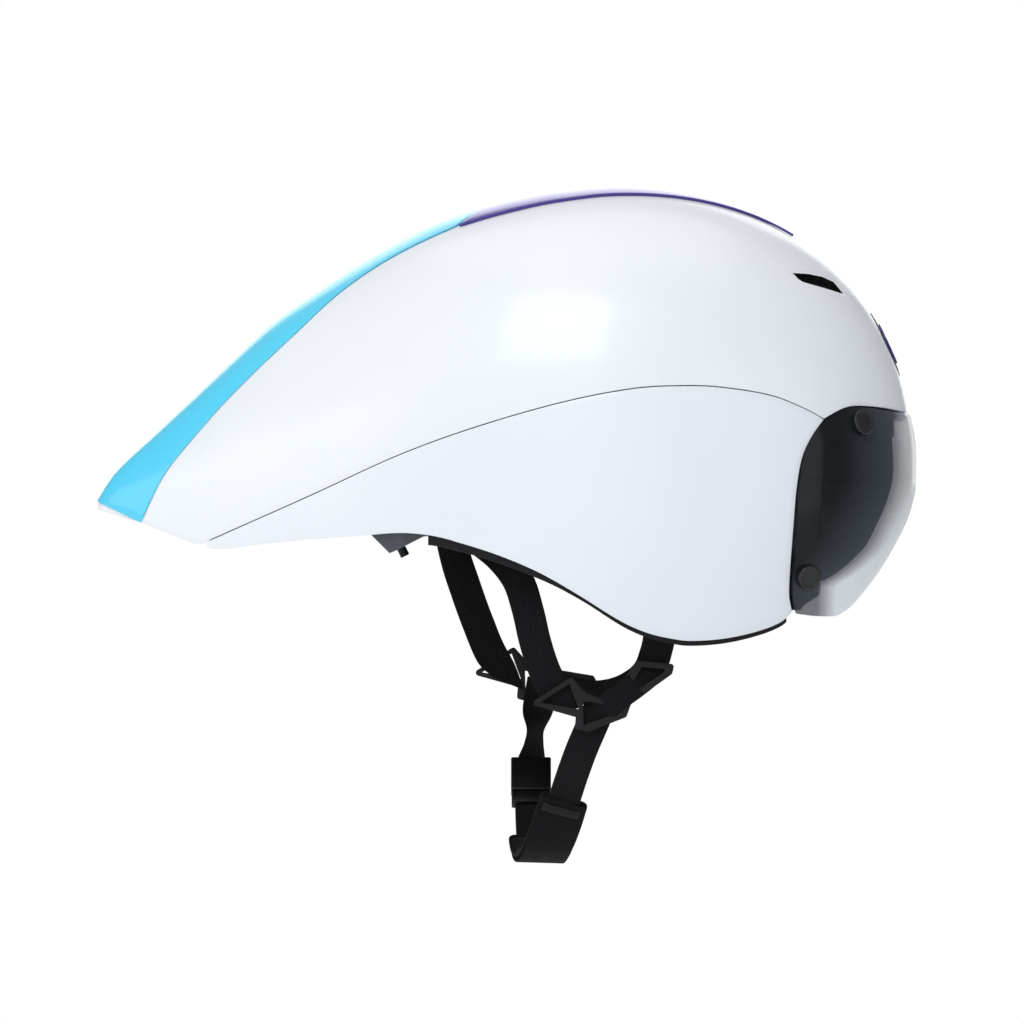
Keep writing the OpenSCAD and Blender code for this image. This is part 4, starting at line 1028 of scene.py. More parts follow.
@dataclass(frozen=True)
class Knit:
    """Soft knitted cloth over a pad, with rows of small loops, lighter on their tops and darker between them as
    painted highlight and shade.
    """

    name: str = "knit_cloth"
    colour: Point = (20, 20, 23)
    # high: colour of the painted highlight on the tops of the loops
    high: Point = (44, 44, 49)
    turn: float = 0.6
    loops: float = 5200

    def material(self) -> bpy.types.Material:
        """Returns the finish as a material.

        Returns:
            The material.
        """
        deck = Deck(self.name)
        vector = deck.place(turn=(self.turn, self.turn * 0.5, self.turn))
        parts = deck.add("SeparateXYZ", Vector=vector)
        rows = [deck.math("SINE", deck.math("MULTIPLY", parts.outputs[a], self.loops)) for a in ("X", "Y", "Z")]
        weave = deck.math("ADD", deck.math("ADD", rows[0], rows[1]), rows[2])
        height = deck.spread(weave, 0, 1, -1.6, 1.6)
        fluff = deck.noise(deck.place(), 1800, 3)
        # painted shade and highlight: the colour darkens in the hollows between loops and lightens on their tops
        tone = deck.math("MULTIPLY", height, deck.spread(fluff, 0.5, 1.3))
        deck.set(Base_Color=deck.blend(tone, rgba(*self.colour), rgba(*self.high)), Specular_IOR_Level=0.1)
        deck.set(Roughness=deck.spread(fluff, 0.8, 0.95), Sheen_Weight=0.06, Sheen_Roughness=0.5)
        deck.bump(height, 0.4, 0.0003)
        return deck.material


@dataclass(frozen=True)
class SmokeLens:
    """Clear polycarbonate with a smoke that is deep at the sides and light ahead of the shades.

    Attributes:
        name: Name of the finish.
        side: Its colour over the seat, as a screen shows it.
        arc: Its colour at the front edge of the shades.
        front: Its colour ahead of them.
        alpha: How much of what lies behind it hides.
    """

    name: str = "smoke_lens"
    side: Point = (26, 29, 36)
    arc: Point = (84, 92, 104)
    front: Point = (246, 252, 255)
    alpha: float = 0.42

    def material(self) -> bpy.types.Material:
        """Returns the finish as a material.

        Returns:
            The material.
        """
        deck = Deck(self.name)
        ahead = deck.add("Attribute")
        ahead.attribute_name = "ahead"
        haze = deck.noise(deck.place(), 22, 2)
        place_share = deck.math("ADD", ahead.outputs["Fac"], deck.spread(haze, -0.03, 0.03))
        side = deck.blend(deck.spread(place_share, 0, 1, -0.9, -0.02), rgba(*self.side), rgba(*self.arc))
        deck.set(Base_Color=deck.blend(deck.spread(place_share, 0, 1, -0.02, 0.28), side, rgba(*self.front)))
        deck.set(Roughness=0.07, Alpha=self.alpha, Specular_IOR_Level=0.3, Coat_Weight=0.15, Coat_Roughness=0.03)
        deck.bump(deck.noise(deck.place(), 25, 1), 0.02, 0.0003)
        return deck.material


@dataclass(frozen=True)
class Steel:
    """Plated steel with fine turned lines."""

    name: str = "plated_steel"
    colour: Point = (188, 190, 194)

    def material(self) -> bpy.types.Material:
        """Returns the finish as a material.

        Returns:
            The material.
        """
        deck = Deck(self.name)
        lines = deck.noise(deck.place(scale=(1, 12, 1)), 900, 3)
        deck.set(Base_Color=deck.blend(lines, rgba(*self.colour), rgba(*(c * 0.85 for c in self.colour))))
        deck.set(Metallic=1.0, Roughness=deck.spread(lines, 0.22, 0.4))
        deck.bump(lines, 0.15, 0.0001)
        return deck.material


class Finish(Enum):
    """The finishes of the helmet, each with the record's slot that it belongs to."""

    SHELL = ("shell_white", Paint("shell_lacquer", (240, 243, 247), (236, 240, 245)))
    # The lower shells' white is painted a little darker than the upper shell's, as painted shade.
    LOWER = ("shell_white", Paint("lower_lacquer_shaded", (237, 241, 246), (232, 237, 243)))
    FILM = ("film_cyan", Paint("tail_film", (92, 218, 250), (84, 208, 246), 0.34, 0.3))
    # The cover and the plate are darkened at their long edges by painted shade.
    COVER = ("cover_violet", EdgeShadedPaint("cover_lacquer", (112, 100, 196), (62, 48, 140)))
    PLATE = ("cover_violet", EdgeShadedPaint("plate_lacquer", (74, 60, 160), (36, 28, 90)))
    BLACK = ("black_plastic", Moulded("black_moulding", (13, 13, 15), 0.4, level=0.3))
    CAP = ("black_plastic", Moulded("cap_moulding", (22, 23, 26), 0.3, 0.03, level=0.5))
    GUIDE = ("black_plastic", Moulded("guide_moulding", (12, 12, 15), 0.36, 0.05, level=0.28))
    GLOSS = ("black_plastic", Moulded("black_gloss", (9, 10, 12), 0.2, 0.03, level=0.35))
    GREY = ("grey_plastic", Moulded("grey_moulding", (112, 117, 126), 0.45, 0.15))
    FOAM = ("foam_black", BeadFoam())
    TRIM = ("trim_black", Moulded("rim_moulding", (12, 13, 16), 0.5, 0.15, 1100, 0.25))
    BELT = ("belt_plastic", Moulded("belt_moulding", (30, 31, 35), 0.38, 0.06))
    LENS = ("lens_smoke", SmokeLens())
    SHADE = ("shade_dark", Moulded("shade_film", (12, 14, 18), 0.2, 0.02, 600, 0.3))
    STEEL = ("plated_steel", Steel())
    TAPE = ("webbing", Webbing())
    THREAD = ("webbing", Moulded("sewing_thread", (40, 40, 44), 0.7, 0.3, 3000, 0.15))
    # Both knits carry painted shade between their loops and painted highlight on their tops.
    CLOTH = ("pad_cloth", Knit())
    SLEEVE = ("pad_cloth", Knit("sleeve_cloth", (9, 9, 10), (22, 22, 25), 0.35, 7400))

    def material(self) -> bpy.types.Material:
        """Returns the finish's material, made on first use."""
        recipe = self.value[1]
        return bpy.data.materials.get(recipe.name) or recipe.material()


def dress(obj: bpy.types.Object, finish: Finish) -> bpy.types.Object:
    """Gives an object one finish all over, and returns it.

    Args:
        obj: The object.
        finish: Its finish.

    Returns:
        The object.
    """
    obj.data.materials.clear()
    obj.data.materials.append(finish.material())
    return obj


def place(obj: bpy.types.Object, finish: Finish, body: str = "helmet",
          stands_for: Sequence[str] = ()) -> bpy.types.Object:
    """Finishes a piece and sets it on its body.

    Args:
        obj: The piece.
        finish: Its finish.
        body: The body that it moves with.
        stands_for: Nodes of the frame that it replaces.

    Returns:
        The piece.
    """
    dress(obj, finish)
    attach(obj, body)
    if stands_for:
        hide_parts(*stands_for)
    LOG.info("%s on %s: %d faces", obj.name, body, len(obj.data.polygons))
    return obj


def dress_node(node: str, finish: Finish) -> None:
    """Gives a node of the frame its finish."""
    dress(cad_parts[node], finish)
    LOG.info("%s keeps its solid, in %s", node, finish.value[1].name)


# Shells


def lathe(name: str, profile: Sequence[tuple[float, float]], at: Point, out: Point,
          steps: int = 48) -> bpy.types.Object:
    """Spins a profile round an axis.

    Args:
        name: Name of the new object.
        profile: Radii and heights in millimetres, first and last on the axis.
        at: Foot of the axis in millimetres.
        out: Direction of the axis.
        steps: Number of steps round.

    Returns:
        The new object.
    """
    n = np.array(out, float) / np.linalg.norm(out)
    u = np.cross(n, (0, 0, 1) if abs(n[2]) < 0.9 else (1, 0, 0))
    u /= np.linalg.norm(u)
    v = np.cross(n, u)
    turns = [2 * math.pi * k / steps for k in range(steps)] + [0.0]
    grid = [[tuple(np.array(at) + r * (math.cos(a) * u + math.sin(a) * v) + h * n) for r, h in profile]
            for a in turns]
    obj = skin(name, grid, merge=True)
    edit_all(obj, lambda: bpy.ops.mesh.normals_make_consistent(inside=False))
    return shade(obj, 35)


def joined(name: str, objs: Sequence[bpy.types.Object]) -> bpy.types.Object:
    """Joins objects into one with a name, and returns it.

    Args:
        name: Name of the joined object.
        objs: The objects, which are used up.

    Returns:
        The joined object.
    """
    pick(objs[0])
    for obj in objs[1:]:
        obj.select_set(True)
    bpy.ops.object.join()
    objs[0].name = objs[0].data.name = name
    return objs[0]


def tube(name: str, line: np.ndarray, radius: float, sides: int = 8) -> bpy.types.Object:
    """Makes a closed round tube along a line of points in millimetres, and returns it.

    Args:
        name: Name of the new object.
        line: The middle line, in millimetres.
        radius: Its radius in millimetres.
        sides: Number of sides of its section.

    Returns:
        The new object.
    """
    way = np.gradient(line, axis=0)
    way /= np.linalg.norm(way, axis=1, keepdims=True)
    up = np.cross(way, (0.3, 0.2, 0.93))
    up /= np.linalg.norm(up, axis=1, keepdims=True)
    side = np.cross(way, up)
    turns = [2 * math.pi * k / sides for k in range(sides)] + [0.0]
    grid = [[tuple(p + radius * (math.cos(a) * u + math.sin(a) * w)) for a in turns]
            for p, u, w in zip(line, up, side)]
    obj = skin(name, grid, merge=True)
    edit_all(obj, close_holes)
    return shade(obj, 60)


@dataclass
class ShellSet:
    """White shells, the film on the tail, the cover on the crown and the lips over the slots."""

    columns: int = 130
    ribs: int = 46
    film_t: float = 0.4
    cover_t: float = 1.2
    bend_power: int = 8
    slot_from: float = 24.5
    slot_share: Table = ((.8475, .6515), (.8674, .6473), (.884, .635), (.8973, .614), (.9094, .564), (.886, .589),
                         (.86, .614), (.8545, .6266))
    lip_share: Table = ((.843, .657), (.865, .66), (.884, .648), (.901, .617), (.916, .571), (.929, .523),
                        (.94, .468))
    film_low_share: Table = ((.055, -.384), (.074, -.243), (.089, -.158), (.117, -.041), (.155, .106),
                             (.198, .254), (.244, .402), (.291, .551), (.3375, .667), (.384, .757),
                             (.4385, .842), (.48, .9))
    leaf_share: Table = ((.4, .27), (.4385, .285), (.5, .3), (.575, .295), (.65, .27), (.72, .22), (.78, .15),
                         (.82, .08), (.85, .012))

    def upper_grid(self) -> Grid:
        """Returns the outside of the upper shell.

        Returns:
            Columns of points from tail to brow.
        """
        grid = []
        for i in range(self.columns + 1):
            c = i / self.columns
            low_x = FORM.at_len(lerp(FORM.tip_share, FORM.corner_share, c))
            top_x = FORM.rib_top(c, FORM.at_len(FORM.tip_share), FORM.shell.crown_x, FORM.tip_x)
            low_z = FORM.upper_edge_z(low_x)
            row = []
            for j in range(self.ribs + 1):
                s = math.sin(math.pi / 2 * j / self.ribs)
                row.append(FORM.arch(s, low_x, low_z, top_x, c**self.bend_power * FORM.brow_bend(s)))
            grid.append(both_sides(row))
        return grid

    def lower_grid(self) -> Grid:
        """Returns the outside of the right lower shell.

        Returns:
            Columns of points from tail to port.
        """
        grid = []
        port_low = FORM.port_x(FORM.low_z(FORM.at_len(FORM.cover_end_share)))
        for i in range(101):
            u = i / 100
            low_x = FORM.at_len(lerp(FORM.tail_corner_share, FORM.cover_end_share, u))
            top_x = FORM.at_len(lerp(FORM.tail_corner_share, FORM.corner_share, u))
            low_z, top_z = FORM.low_z(low_x), FORM.seam_z(top_x) - FORM.seam_gap
            row = []
            for j in range(29):
                v = j / 28
                z = lerp(low_z, top_z, v)
                edge = FORM.port_x(min(z, FORM.corner_z)) - lerp(port_low, FORM.corner_x, v)
                x = lerp(low_x, top_x, v) + u**self.bend_power * edge
                row.append((x, -FORM.side(x, z), z))
            grid.append(row)
        return grid

    def film_grid(self) -> Grid:
        """Returns the shell's surface under the film.

        Returns:
            Columns of points from tail to crown.
        """
        grid = []
        for i in range(71):
            c = i / 70
            low_x = FORM.at_len(lerp(.055, .4385, c))
            top_x = FORM.at_len(lerp(FORM.tip_share, .467, c))
            low_z = FORM.crown_h * curve(self.film_low_share, FORM.len_share(low_x))
            grid.append(both_sides([FORM.arch(math.sin(math.pi / 2 * j / 28), low_x, low_z, top_x, 0)
                                    for j in range(29)]))
        return grid

    def cover_grid(self) -> Grid:
        """Returns the shell's surface under the crown's cover.

        Returns:
            Columns of points from rear to front.
        """
        grid = []
        for i in range(81):
            row = []
            for j in range(-20, 21):
                s = j / 20
                rear = .471 - .0285 * s * s
                x = FORM.at_len(lerp(rear, FORM.cover_end_share, i / 80))
                y = s * FORM.half_w * curve(self.leaf_share, FORM.len_share(x))
                row.append((x, y, FORM.crest(x, y)))
            grid.append(row)
        return grid

    def slot_cutter(self, side: int) -> bpy.types.Object:
        """Returns the solid that cuts a slot, on the right at -1 and on the left at 1."""
        outline = [(FORM.at_len(a), FORM.crown_h * b) for a, b in self.slot_share]
        return prism("slot_cutter", outline, lambda x, z: (x, side * self.slot_from, z), (0, side * 90, 0))

    def lip(self, side: int) -> bpy.types.Object:
        """Returns the fine lip that runs over a slot to the brow's insert.

        Args:
            side: -1 on the right and 1 on the left.

        Returns:
            The lip.
        """
        line = route([(FORM.at_len(a), 0, FORM.crown_h * b) for a, b in self.lip_share], 1.2)
        grid = []
        for k, (x, _, z) in enumerate(line):
            ends = min(1.0, k / 6, (len(line) - 1 - k) / 6)
            here = np.array((x, -FORM.shell.side(x, z), z))
            n = outward(x, z)
            a, b = line[max(k - 1, 0)], line[min(k + 1, len(line) - 1)]
            along = np.array((b[0] - a[0], FORM.shell.side(a[0], a[2]) - FORM.shell.side(b[0], b[2]), b[2] - a[2]))
            across = np.cross(n, along / np.linalg.norm(along))
            grid.append([tuple(here + across * w * (0.35 + 0.65 * ends) + n * h * ends)
                         for w, h in ((-1.3, -.35), (-.7, .12), (0, .42), (.22, .3), (.3, -.35))])
        grid = [[(x, -side * y, z) for x, y, z in col] for col in grid]
        obj = skin(f"hood_lip_{'left' if side > 0 else 'right'}", grid if side < 0 else grid[::-1])
        apply(obj, "SOLIDIFY", thickness=0.25 * MM, offset=-1)
        return shade(obj, 60)

    def build(self) -> None:
        """Makes the shells and sets them on the helmet."""
        upper = skin("upper_shell_skin", self.upper_grid())
        apply(upper, "SOLIDIFY", thickness=FORM.shell_t * MM, offset=-1, use_even_offset=True)
        leaf = BrowInsert()
        cut_out(upper, [self.slot_cutter(-1), self.slot_cutter(1), leaf.cutter()])
        soft_edges(upper, 0.25, 2, 50)
        place(upper, Finish.SHELL, stands_for=["upper_shell"])
        lower = self.lower_grid()
        for side, grid in (("right", lower), ("left", flipped(lower))):
            # the lower shells' lacquer carries painted shade
            place(wall(f"lower_shell_{side}_skin", grid, FORM.shell_t, 0.25), Finish.LOWER,
                  stands_for=[f"lower_shell_{side}"])
        film = wall("tail_film_skin", raised(self.film_grid(), 0.9), self.film_t, 0.12)
        place(film, Finish.FILM, stands_for=["tail_film"])
        cover = wall("crown_cover_skin", raised(self.cover_grid(), 1.5), self.cover_t, 0.5, 3)
        place(cover, Finish.COVER, stands_for=["crown_cover"])
        for side in (-1, 1):
            place(self.lip(side), Finish.SHELL)
        leaf.build()


def outward(x: float, z: float) -> np.ndarray:
    """Returns the normal of the shell's right side at x and z."""
    n = np.array((FORM.side(x - 1, z) - FORM.side(x + 1, z), -2.0, FORM.side(x, z - 1) - FORM.side(x, z + 1)))
    return n / np.linalg.norm(n)


@dataclass
class BrowInsert:
    """Leaf-shaped insert in the middle of the brow, with its plate."""

    middle_z: float = 42.8
    half_h: float = 15.8
    half_w: float = 12.75
    gap: float = 0.45

    def half(self, t: float) -> float:
        """Returns the leaf's half width at a share of its height, from -1 to 1."""
        return max(0.0, 1 - t * t) ** 0.7

    def grid(self, size: float) -> Grid:
        """Returns the leaf on the shell's surface at a share of its size.

        Args:
            size: The share of its full size.

        Returns:
            Columns of points from right to left.
        """
        out = []
        for i in range(-12, 13):
            row = []
            for j in range(-22, 23):
                t = 0.985 * math.sin(math.pi / 2 * j / 22)
                y = i / 12 * size * self.half_w * self.half(t)
                z = self.middle_z + size * self.half_h * t
                row.append((FORM.shell.nose(y, z), y, z))
            out.append(row)
        return out

    def cutter(self) -> bpy.types.Object:
        """Returns the solid that cuts the leaf's opening.

        Returns:
            The solid.
        """
        size = 1 + self.gap / self.half_w
        ts = [math.sin(math.pi / 2 * k / 20) for k in range(-20, 21)]
        right = [(size * self.half_w * self.half(t), self.middle_z + size * self.half_h * t) for t in ts]
        left = [(-y, z) for y, z in right[-2:0:-1]]
        return prism("leaf_cutter", right + left, lambda y, z: (60, y, z), (120, 0, 0))

    def build(self) -> None:
        """Makes the insert and its plate."""
        frame_piece = wall("brow_insert", raised(self.grid(1), 0.35), 4.3, 0.3)
        place(frame_piece, Finish.BLACK, stands_for=["brow_vent_frame"])
        plate = wall("brow_plate", raised(self.grid(0.62), 1.1), 0.9, 0.3)
        place(plate, Finish.PLATE, stands_for=["brow_vent_plate"])


@dataclass
class RimTrim:
    """Black rim under the lower shells."""

    show: float = 5
    lap: float = 1
    show_share: Table = ((.404, 1), (.45, .85), (.53, .68), (.57, .44), (.605, .36), (.65, .44), (.75, .5),
                         (.84, .5))

    def build(self) -> None:
        """Makes the rim on both sides."""
        for name, side in (("right", -1), ("left", 1)):
            grid = []
            for i in range(91):
                x = FORM.at_len(lerp(.404, .84, i / 90))
                show = self.show * curve(self.show_share, FORM.len_share(x))
                z = FORM.low_z(x)
                out, room = FORM.side(x, z) - 2.2, FORM.room_side(x, z) + 0.3
                loop = [(out, z + self.lap), (out, z - 0.4 * show), (out - 0.3 * show, z - show),
                        (room + 0.3 * show, z - show), (room, z - 0.4 * show), (room, z + self.lap)]
                grid.append([(x, side * y, h) for y, h in loop + loop[:1]])
            obj = skin(f"rim_{name}", grid, merge=True)
            edit_all(obj, close_holes)
            soft_edges(obj, 0.6, 3, 28)
            place(obj, Finish.TRIM, stands_for=[f"edge_trim_{name}"])


# Visor


@dataclass
class Visor:
    """Smoked lens with its caps, shades and the seat that it lies on."""

    lens_t: float = 2
    gap: float = 0.4
    smoke_ease: float = 30
    seat_t: float = 2.4
    seat_w: float = 13.5
    cap_r: float = 6.3
    stem_r: float = 4.8
    magnets: Table = ((100.518, 3.4945), (73.926, -73.505))
    low_share: Table = ((0, -.256), (.12, -.284), (.22, -.351), (.3, -.424), (.37, -.48), (.44, -.545),
                        (.507, -.616), (.572, -.687), (.641, -.758), (.715, -.829), (.78, -.867), (.82, -.8815),
                        (.93, -.8815), (1, -.872))
    high_share: Table = ((0, .0655), (.3, .07), (.615, .082), (.776, .093), (.885, .093), (.96, .076), (1, .0415))
    shade_share: Table = ((-.735, .8795), (-.71, .893), (-.66, .912), (-.56, .939), (-.445, .955), (-.35, .966),
                          (-.237, .974), (-.147, .975), (-.03, .973), (0, .972))

    def high_z(self, s: float) -> float:
        """Returns the height of the lens's upper edge at a share across."""
        return FORM.crown_h * curve(self.high_share, abs(s))

    def lens_grid(self) -> Grid:
        """Returns the outside of the lens.

        Returns:
            Columns of points from right to left.
        """
        grid = []
        for i in range(-64, 65):
            s = math.sin(math.pi / 2 * i / 64)
            low, high = FORM.drop * curve(self.low_share, abs(s)), self.high_z(s)
            row = []
            for j in range(37):
                z = lerp(low, high, j / 36)
                y = s * FORM.lens_side(z)
                row.append((FORM.lens.nose(y, z), y, z))
            grid.append(row)
        return grid

    def arc_x(self, z: float) -> float:
        """Returns the place of the front edge of the dark zone at a height."""
        return FORM.at_len(curve(self.shade_share, min(0.0, max(-0.735, z / FORM.drop))))

    def mark_smoke(self, lens: bpy.types.Object) -> None:
        """Writes on each point of the lens how far it lies ahead of the dark zone, in shares of its ease.

        Args:
            lens: The finished lens.
        """
        layer = lens.data.attributes.new("ahead", "FLOAT", "POINT")
        co = points_of(lens) / MM
        layer.data.foreach_set("value", [(x - self.arc_x(z)) / self.smoke_ease for x, _, z in co])

    def seats(self) -> list[tuple[np.ndarray, np.ndarray]]:
        """Returns the place and the normal of each magnet.

        Returns:
            A place and a normal for each magnet.
        """
        out = []
        for side in (-1, 1):
            for x, z in self.magnets:
                def at(a: float, b: float, side: int = side) -> np.ndarray:
                    """Returns the place on the lens at a and b."""
                    return np.array((a, side * FORM.lens.side(a, b), b))

                n = side * np.cross(at(x, z + 1) - at(x, z - 1), at(x + 1, z) - at(x - 1, z))
                out.append((at(x, z), n / np.linalg.norm(n)))
        return out

    def drill(self, radius: float, depth: float) -> list[bpy.types.Object]:
        """Returns round cutters at the magnets, that reach a depth inside the lens."""
        profile = [(0, -depth), (radius, -depth), (radius, 4), (0, 4)]
        return [lathe("drill", profile, tuple(p), tuple(n), 40) for p, n in self.seats()]

    def cap(self, p: np.ndarray, n: np.ndarray) -> bpy.types.Object:
        """Returns one cap with its stem, the magnet's bore and a dished top.

        Args:
            p: Its place on the lens.
            n: The lens's normal there.

        Returns:
            The cap.
        """
        r, stem = self.cap_r, self.stem_r
        profile = [(0, .3), (4.05, .3), (4.05, -2), (stem, -2), (stem, .02), (r - .25, .02), (r, .27), (r, 2.3),
                   (r - .12, 2.62), (r - .45, 2.92), (r - .8, 3), (r - 1.35, 3), (r - 1.6, 2.86), (r - 1.75, 2.7),
                   (0, 2.62)]
        return lathe("cap", profile, tuple(p), tuple(n), 56)

    def shade_grid(self) -> Grid:
        """Returns the lens's surface over the right shade.

        Returns:
            Columns of points from rear to front.
        """
        grid = []
        for i in range(31):
            row = []
            for j in range(31):
                z = FORM.drop * lerp(-.72, -.026, j / 30)
                rear = FORM.port_x(z) + self.seat_w + 0.5 + 5 * smooth((z + 9) / 6)
                y = -lerp(FORM.lens.side(self.arc_x(z), z), FORM.lens.side(rear, z), 1 - i / 30)
                row.append((FORM.lens.nose(y, z), y, z))
            grid.append(row)
        return grid

    def seat_line(self, form: Ovoid, e: float) -> list[Point]:
        """Returns a line of the seat at a distance forwards of the port's edge.

        Args:
            form: The form that the line lies on.
            e: The distance in millimetres.

        Returns:
            The points of the line from one foot to the other.
        """
        right = []
        for k in range(41):
            z = lerp(-.86 * FORM.drop, FORM.corner_z - 13.5, k / 40)
            x = FORM.port_x(z) + max(e, 0) * lerp(.3, 1, smooth(k / 4)) + min(e, 0)
            right.append((x, -form.side(x, z), z))
        x, z = FORM.corner_x + .7 * e, FORM.corner_z - .7 * e
        right.append((x, -form.side(x, z), z))
        for k in range(1, 49):
            s = .9 * (1 - k / 48)
            wide = max(e, 0) * lerp(.2, 1, smooth((s - .49) / .04))
            y, z = -s * FORM.lens_side(FORM.corner_z), self.high_z(s) + .8 - wide - min(e, 0)
            right.append((form.nose(y, z), y, z))
        return both_sides(right)

    def seat_grid(self) -> Grid:
        """Returns the outside of the seat.

        Returns:
            Columns of points from the inner lip to the rear edge.
        """
        steps = (self.seat_w + 3, self.seat_w + 0.2, self.seat_w, 6.75, 1.2, -0.6, -6)
        deep = -self.lens_t - self.gap
        lens = [list(col) for col in zip(*[self.seat_line(FORM.lens, e) for e in steps])]
        near = raised(lens, [[deep - 1.6, deep - 1.6] + [deep] * 5] * len(lens))
        back = raised(list(map(list, zip(*[self.seat_line(FORM.shell, e) for e in steps]))), -FORM.shell_t - 0.7)
        return [a[:5] + b[5:] for a, b in zip(near, back)]

    def build(self) -> None:
        """Makes the visor and its seat."""
        lens = wall("lens_skin", self.lens_grid(), self.lens_t, 0.45, 3)
        cut_out(lens, self.drill(self.stem_r + 0.3, self.lens_t + 1.5))
        self.mark_smoke(lens)
        place(shade(lens, 50), Finish.LENS, "visor", ["visor_lens"])
        caps = joined("lens_caps", [self.cap(p, n) for p, n in self.seats()])
        place(caps, Finish.CAP, "visor", ["magnet_caps"])
        shades = raised(self.shade_grid(), -self.lens_t - 0.3)
        for side, grid in (("right", shades), ("left", flipped(shades))):
            place(wall(f"side_shade_{side}", grid, 1.2, 0.3), Finish.SHADE, "visor", [f"visor_shade_{side}"])
        seat = skin("lens_seat", self.seat_grid())
        apply(seat, "SOLIDIFY", thickness=self.seat_t * MM, offset=-1)
        cut_out(seat, self.drill(4.05, self.lens_t + self.gap + 1.52))
        place(soft_edges(seat, 0.35, 2, 50), Finish.GLOSS, stands_for=["visor_seat"])
        dress_node("visor_magnets", Finish.STEEL)
        dress_node("strike_discs", Finish.STEEL)


# Soft pieces


@dataclass
class Cushion:
    """Sewn pad on a surface, swollen by a cloth simulation.

    Attributes:
        name: Name of the pad.
        grid: Fine grid of the surface that it lies on, in millimetres.
        side: On which side of the surface it lies, 1 or -1.
        gap: Clearance to the surface.
        thick: Its thickness in the middle.
        seams: Shares of its length at which a seam crosses it.
        finish: Its cloth.
        body: The body that it moves with.
        zoom: How much larger than life the simulation runs.
        voxel: Size of the faces that are simulated, in millimetres.
        cap: The farthest that a point may swell, in millimetres.
        edge: Its thickness at the edge as a share of that in the middle.
    """

    name: str
    grid: Grid
    side: int = -1
    gap: float = 0.7
    thick: float = 5
    seams: Sequence[float] = ()
    finish: Finish = Finish.CLOTH
    body: str = "helmet"
    zoom: float = 5
    voxel: float = 1.3
    cap: float = 1.5
    edge: float = 0.35

    def start(self) -> bpy.types.Object:
        """Returns the slightly slack form that the simulation starts from.

        Returns:
            The closed form.
        """
        nc, nr = len(self.grid), len(self.grid[0])
        heights = []
        for i in range(nc):
            u = abs(2 * i / (nc - 1) - 1) ** 4
            heights.append([self.side * (self.gap + (self.thick - 0.7) * (self.edge + (1 - self.edge) * math.sqrt(
                max(0.0, (1 - u) * (1 - abs(2 * j / (nr - 1) - 1) ** 4))))) for j in range(nr)])
        low, high = raised(self.grid, self.side * self.gap), raised(self.grid, heights)
        outer, inner = (low, high) if self.side < 0 else (high, low)
        return block_between(self.name, outer, inner)

    def swell(self, obj: bpy.types.Object) -> None:
        """Blows the pad up from inside, as far as its cap allows.

        Args:
            obj: The pad.
        """
        obj.data.transform(Matrix.Scale(self.zoom, 4))
        apply(obj, "REMESH", mode="VOXEL", voxel_size=self.voxel * self.zoom * MM)
        before = points_of(obj)
        cloth = obj.modifiers.new("Cloth", "CLOTH")
        cloth.settings.use_pressure = True
        cloth.settings.uniform_pressure_force = 4
        cloth.settings.effector_weights.gravity = 0
        cloth.point_cache.frame_start, cloth.point_cache.frame_end = 1, 20
        for step in range(1, 21):
            bpy.context.scene.frame_set(step)
        pick(obj)
        bpy.ops.object.modifier_apply(modifier=cloth.name)
        bpy.context.scene.frame_set(1)
        moved = points_of(obj) - before
        far = np.linalg.norm(moved, axis=1, keepdims=True)
        limit = self.cap * self.zoom * MM
        moved *= limit * np.tanh(far / limit) / np.maximum(far, 1e-9)
        set_points(obj, (before + moved) / self.zoom)

    def rest(self, obj: bpy.types.Object) -> None:
        """Keeps the pad off its surface and presses its seams in.

        Args:
            obj: The pad.
        """
        base = np.array(self.grid) * MM
        nc, nr = base.shape[:2]
        normal = (np.array(raised(self.grid, 1)) * MM - base) / MM
        flat, ways = base.reshape(-1, 3), normal.reshape(-1, 3)
        tree = KDTree(len(flat))
        for k, p in enumerate(flat):
            tree.insert(p, k)
        tree.balance()
        co = points_of(obj)
        least, full = (self.gap - 0.45) * MM, (self.thick + self.gap + 0.5) * MM
        for k, p in enumerate(co):
            near = tree.find(p)[1]
            height = self.side * float((p - flat[near]) @ ways[near])
            share = (near // nr) / (nc - 1)
            wanted = min(max(height, least), full)
            if height > (self.gap + 1.2) * MM:
                for seam in self.seams:
                    away = (share - seam) * nc * np.linalg.norm(base[1, 0] - base[0, 0]) / 1.1 / MM
                    wanted -= 1.4 * MM * math.exp(-away * away)
            co[k] = p + ways[near] * self.side * (wanted - height)
        set_points(obj, co)

    def piping(self) -> bpy.types.Object:
        """Returns the sewn edge that runs round the pad.

        Returns:
            The piping.
        """
        ring = np.array(raised(self.grid, self.side * (self.gap + self.edge * self.thick * 0.45)))
        line = np.concatenate([ring[:, 0], ring[-1, 1:], ring[-2::-1, -1], ring[0, -2:0:-1], ring[:1, 0]])
        for _ in range(3):
            inner = (np.roll(line[:-1], 1, 0) + 2 * line[:-1] + np.roll(line[:-1], -1, 0)) / 4
            line = np.concatenate([inner, inner[:1]])
        return tube(f"{self.name}_piping", line, 0.75)

    def build(self, *nodes: str) -> None:
        """Makes the pad and its piping in place of nodes of the frame."""
        obj = self.start()
        self.swell(obj)
        self.rest(obj)
        apply(obj, "SUBSURF", levels=1, render_levels=1)
        place(shade(obj, 80), self.finish, self.body, nodes)
        place(self.piping(), Finish.SLEEVE, self.body)


def points_of(obj: bpy.types.Object) -> np.ndarray:
    """Returns the points of an object's mesh.

    Args:
        obj: The object.

    Returns:
        One row for each point, in metres.
    """
    co = np.zeros(3 * len(obj.data.vertices))
    obj.data.vertices.foreach_get("co", co)
    return co.reshape(-1, 3)


def set_points(obj: bpy.types.Object, co: np.ndarray) -> None:
    """Sets the points of an object's mesh."""
    obj.data.vertices.foreach_set("co", co.astype(np.float32).ravel())
    obj.data.update()


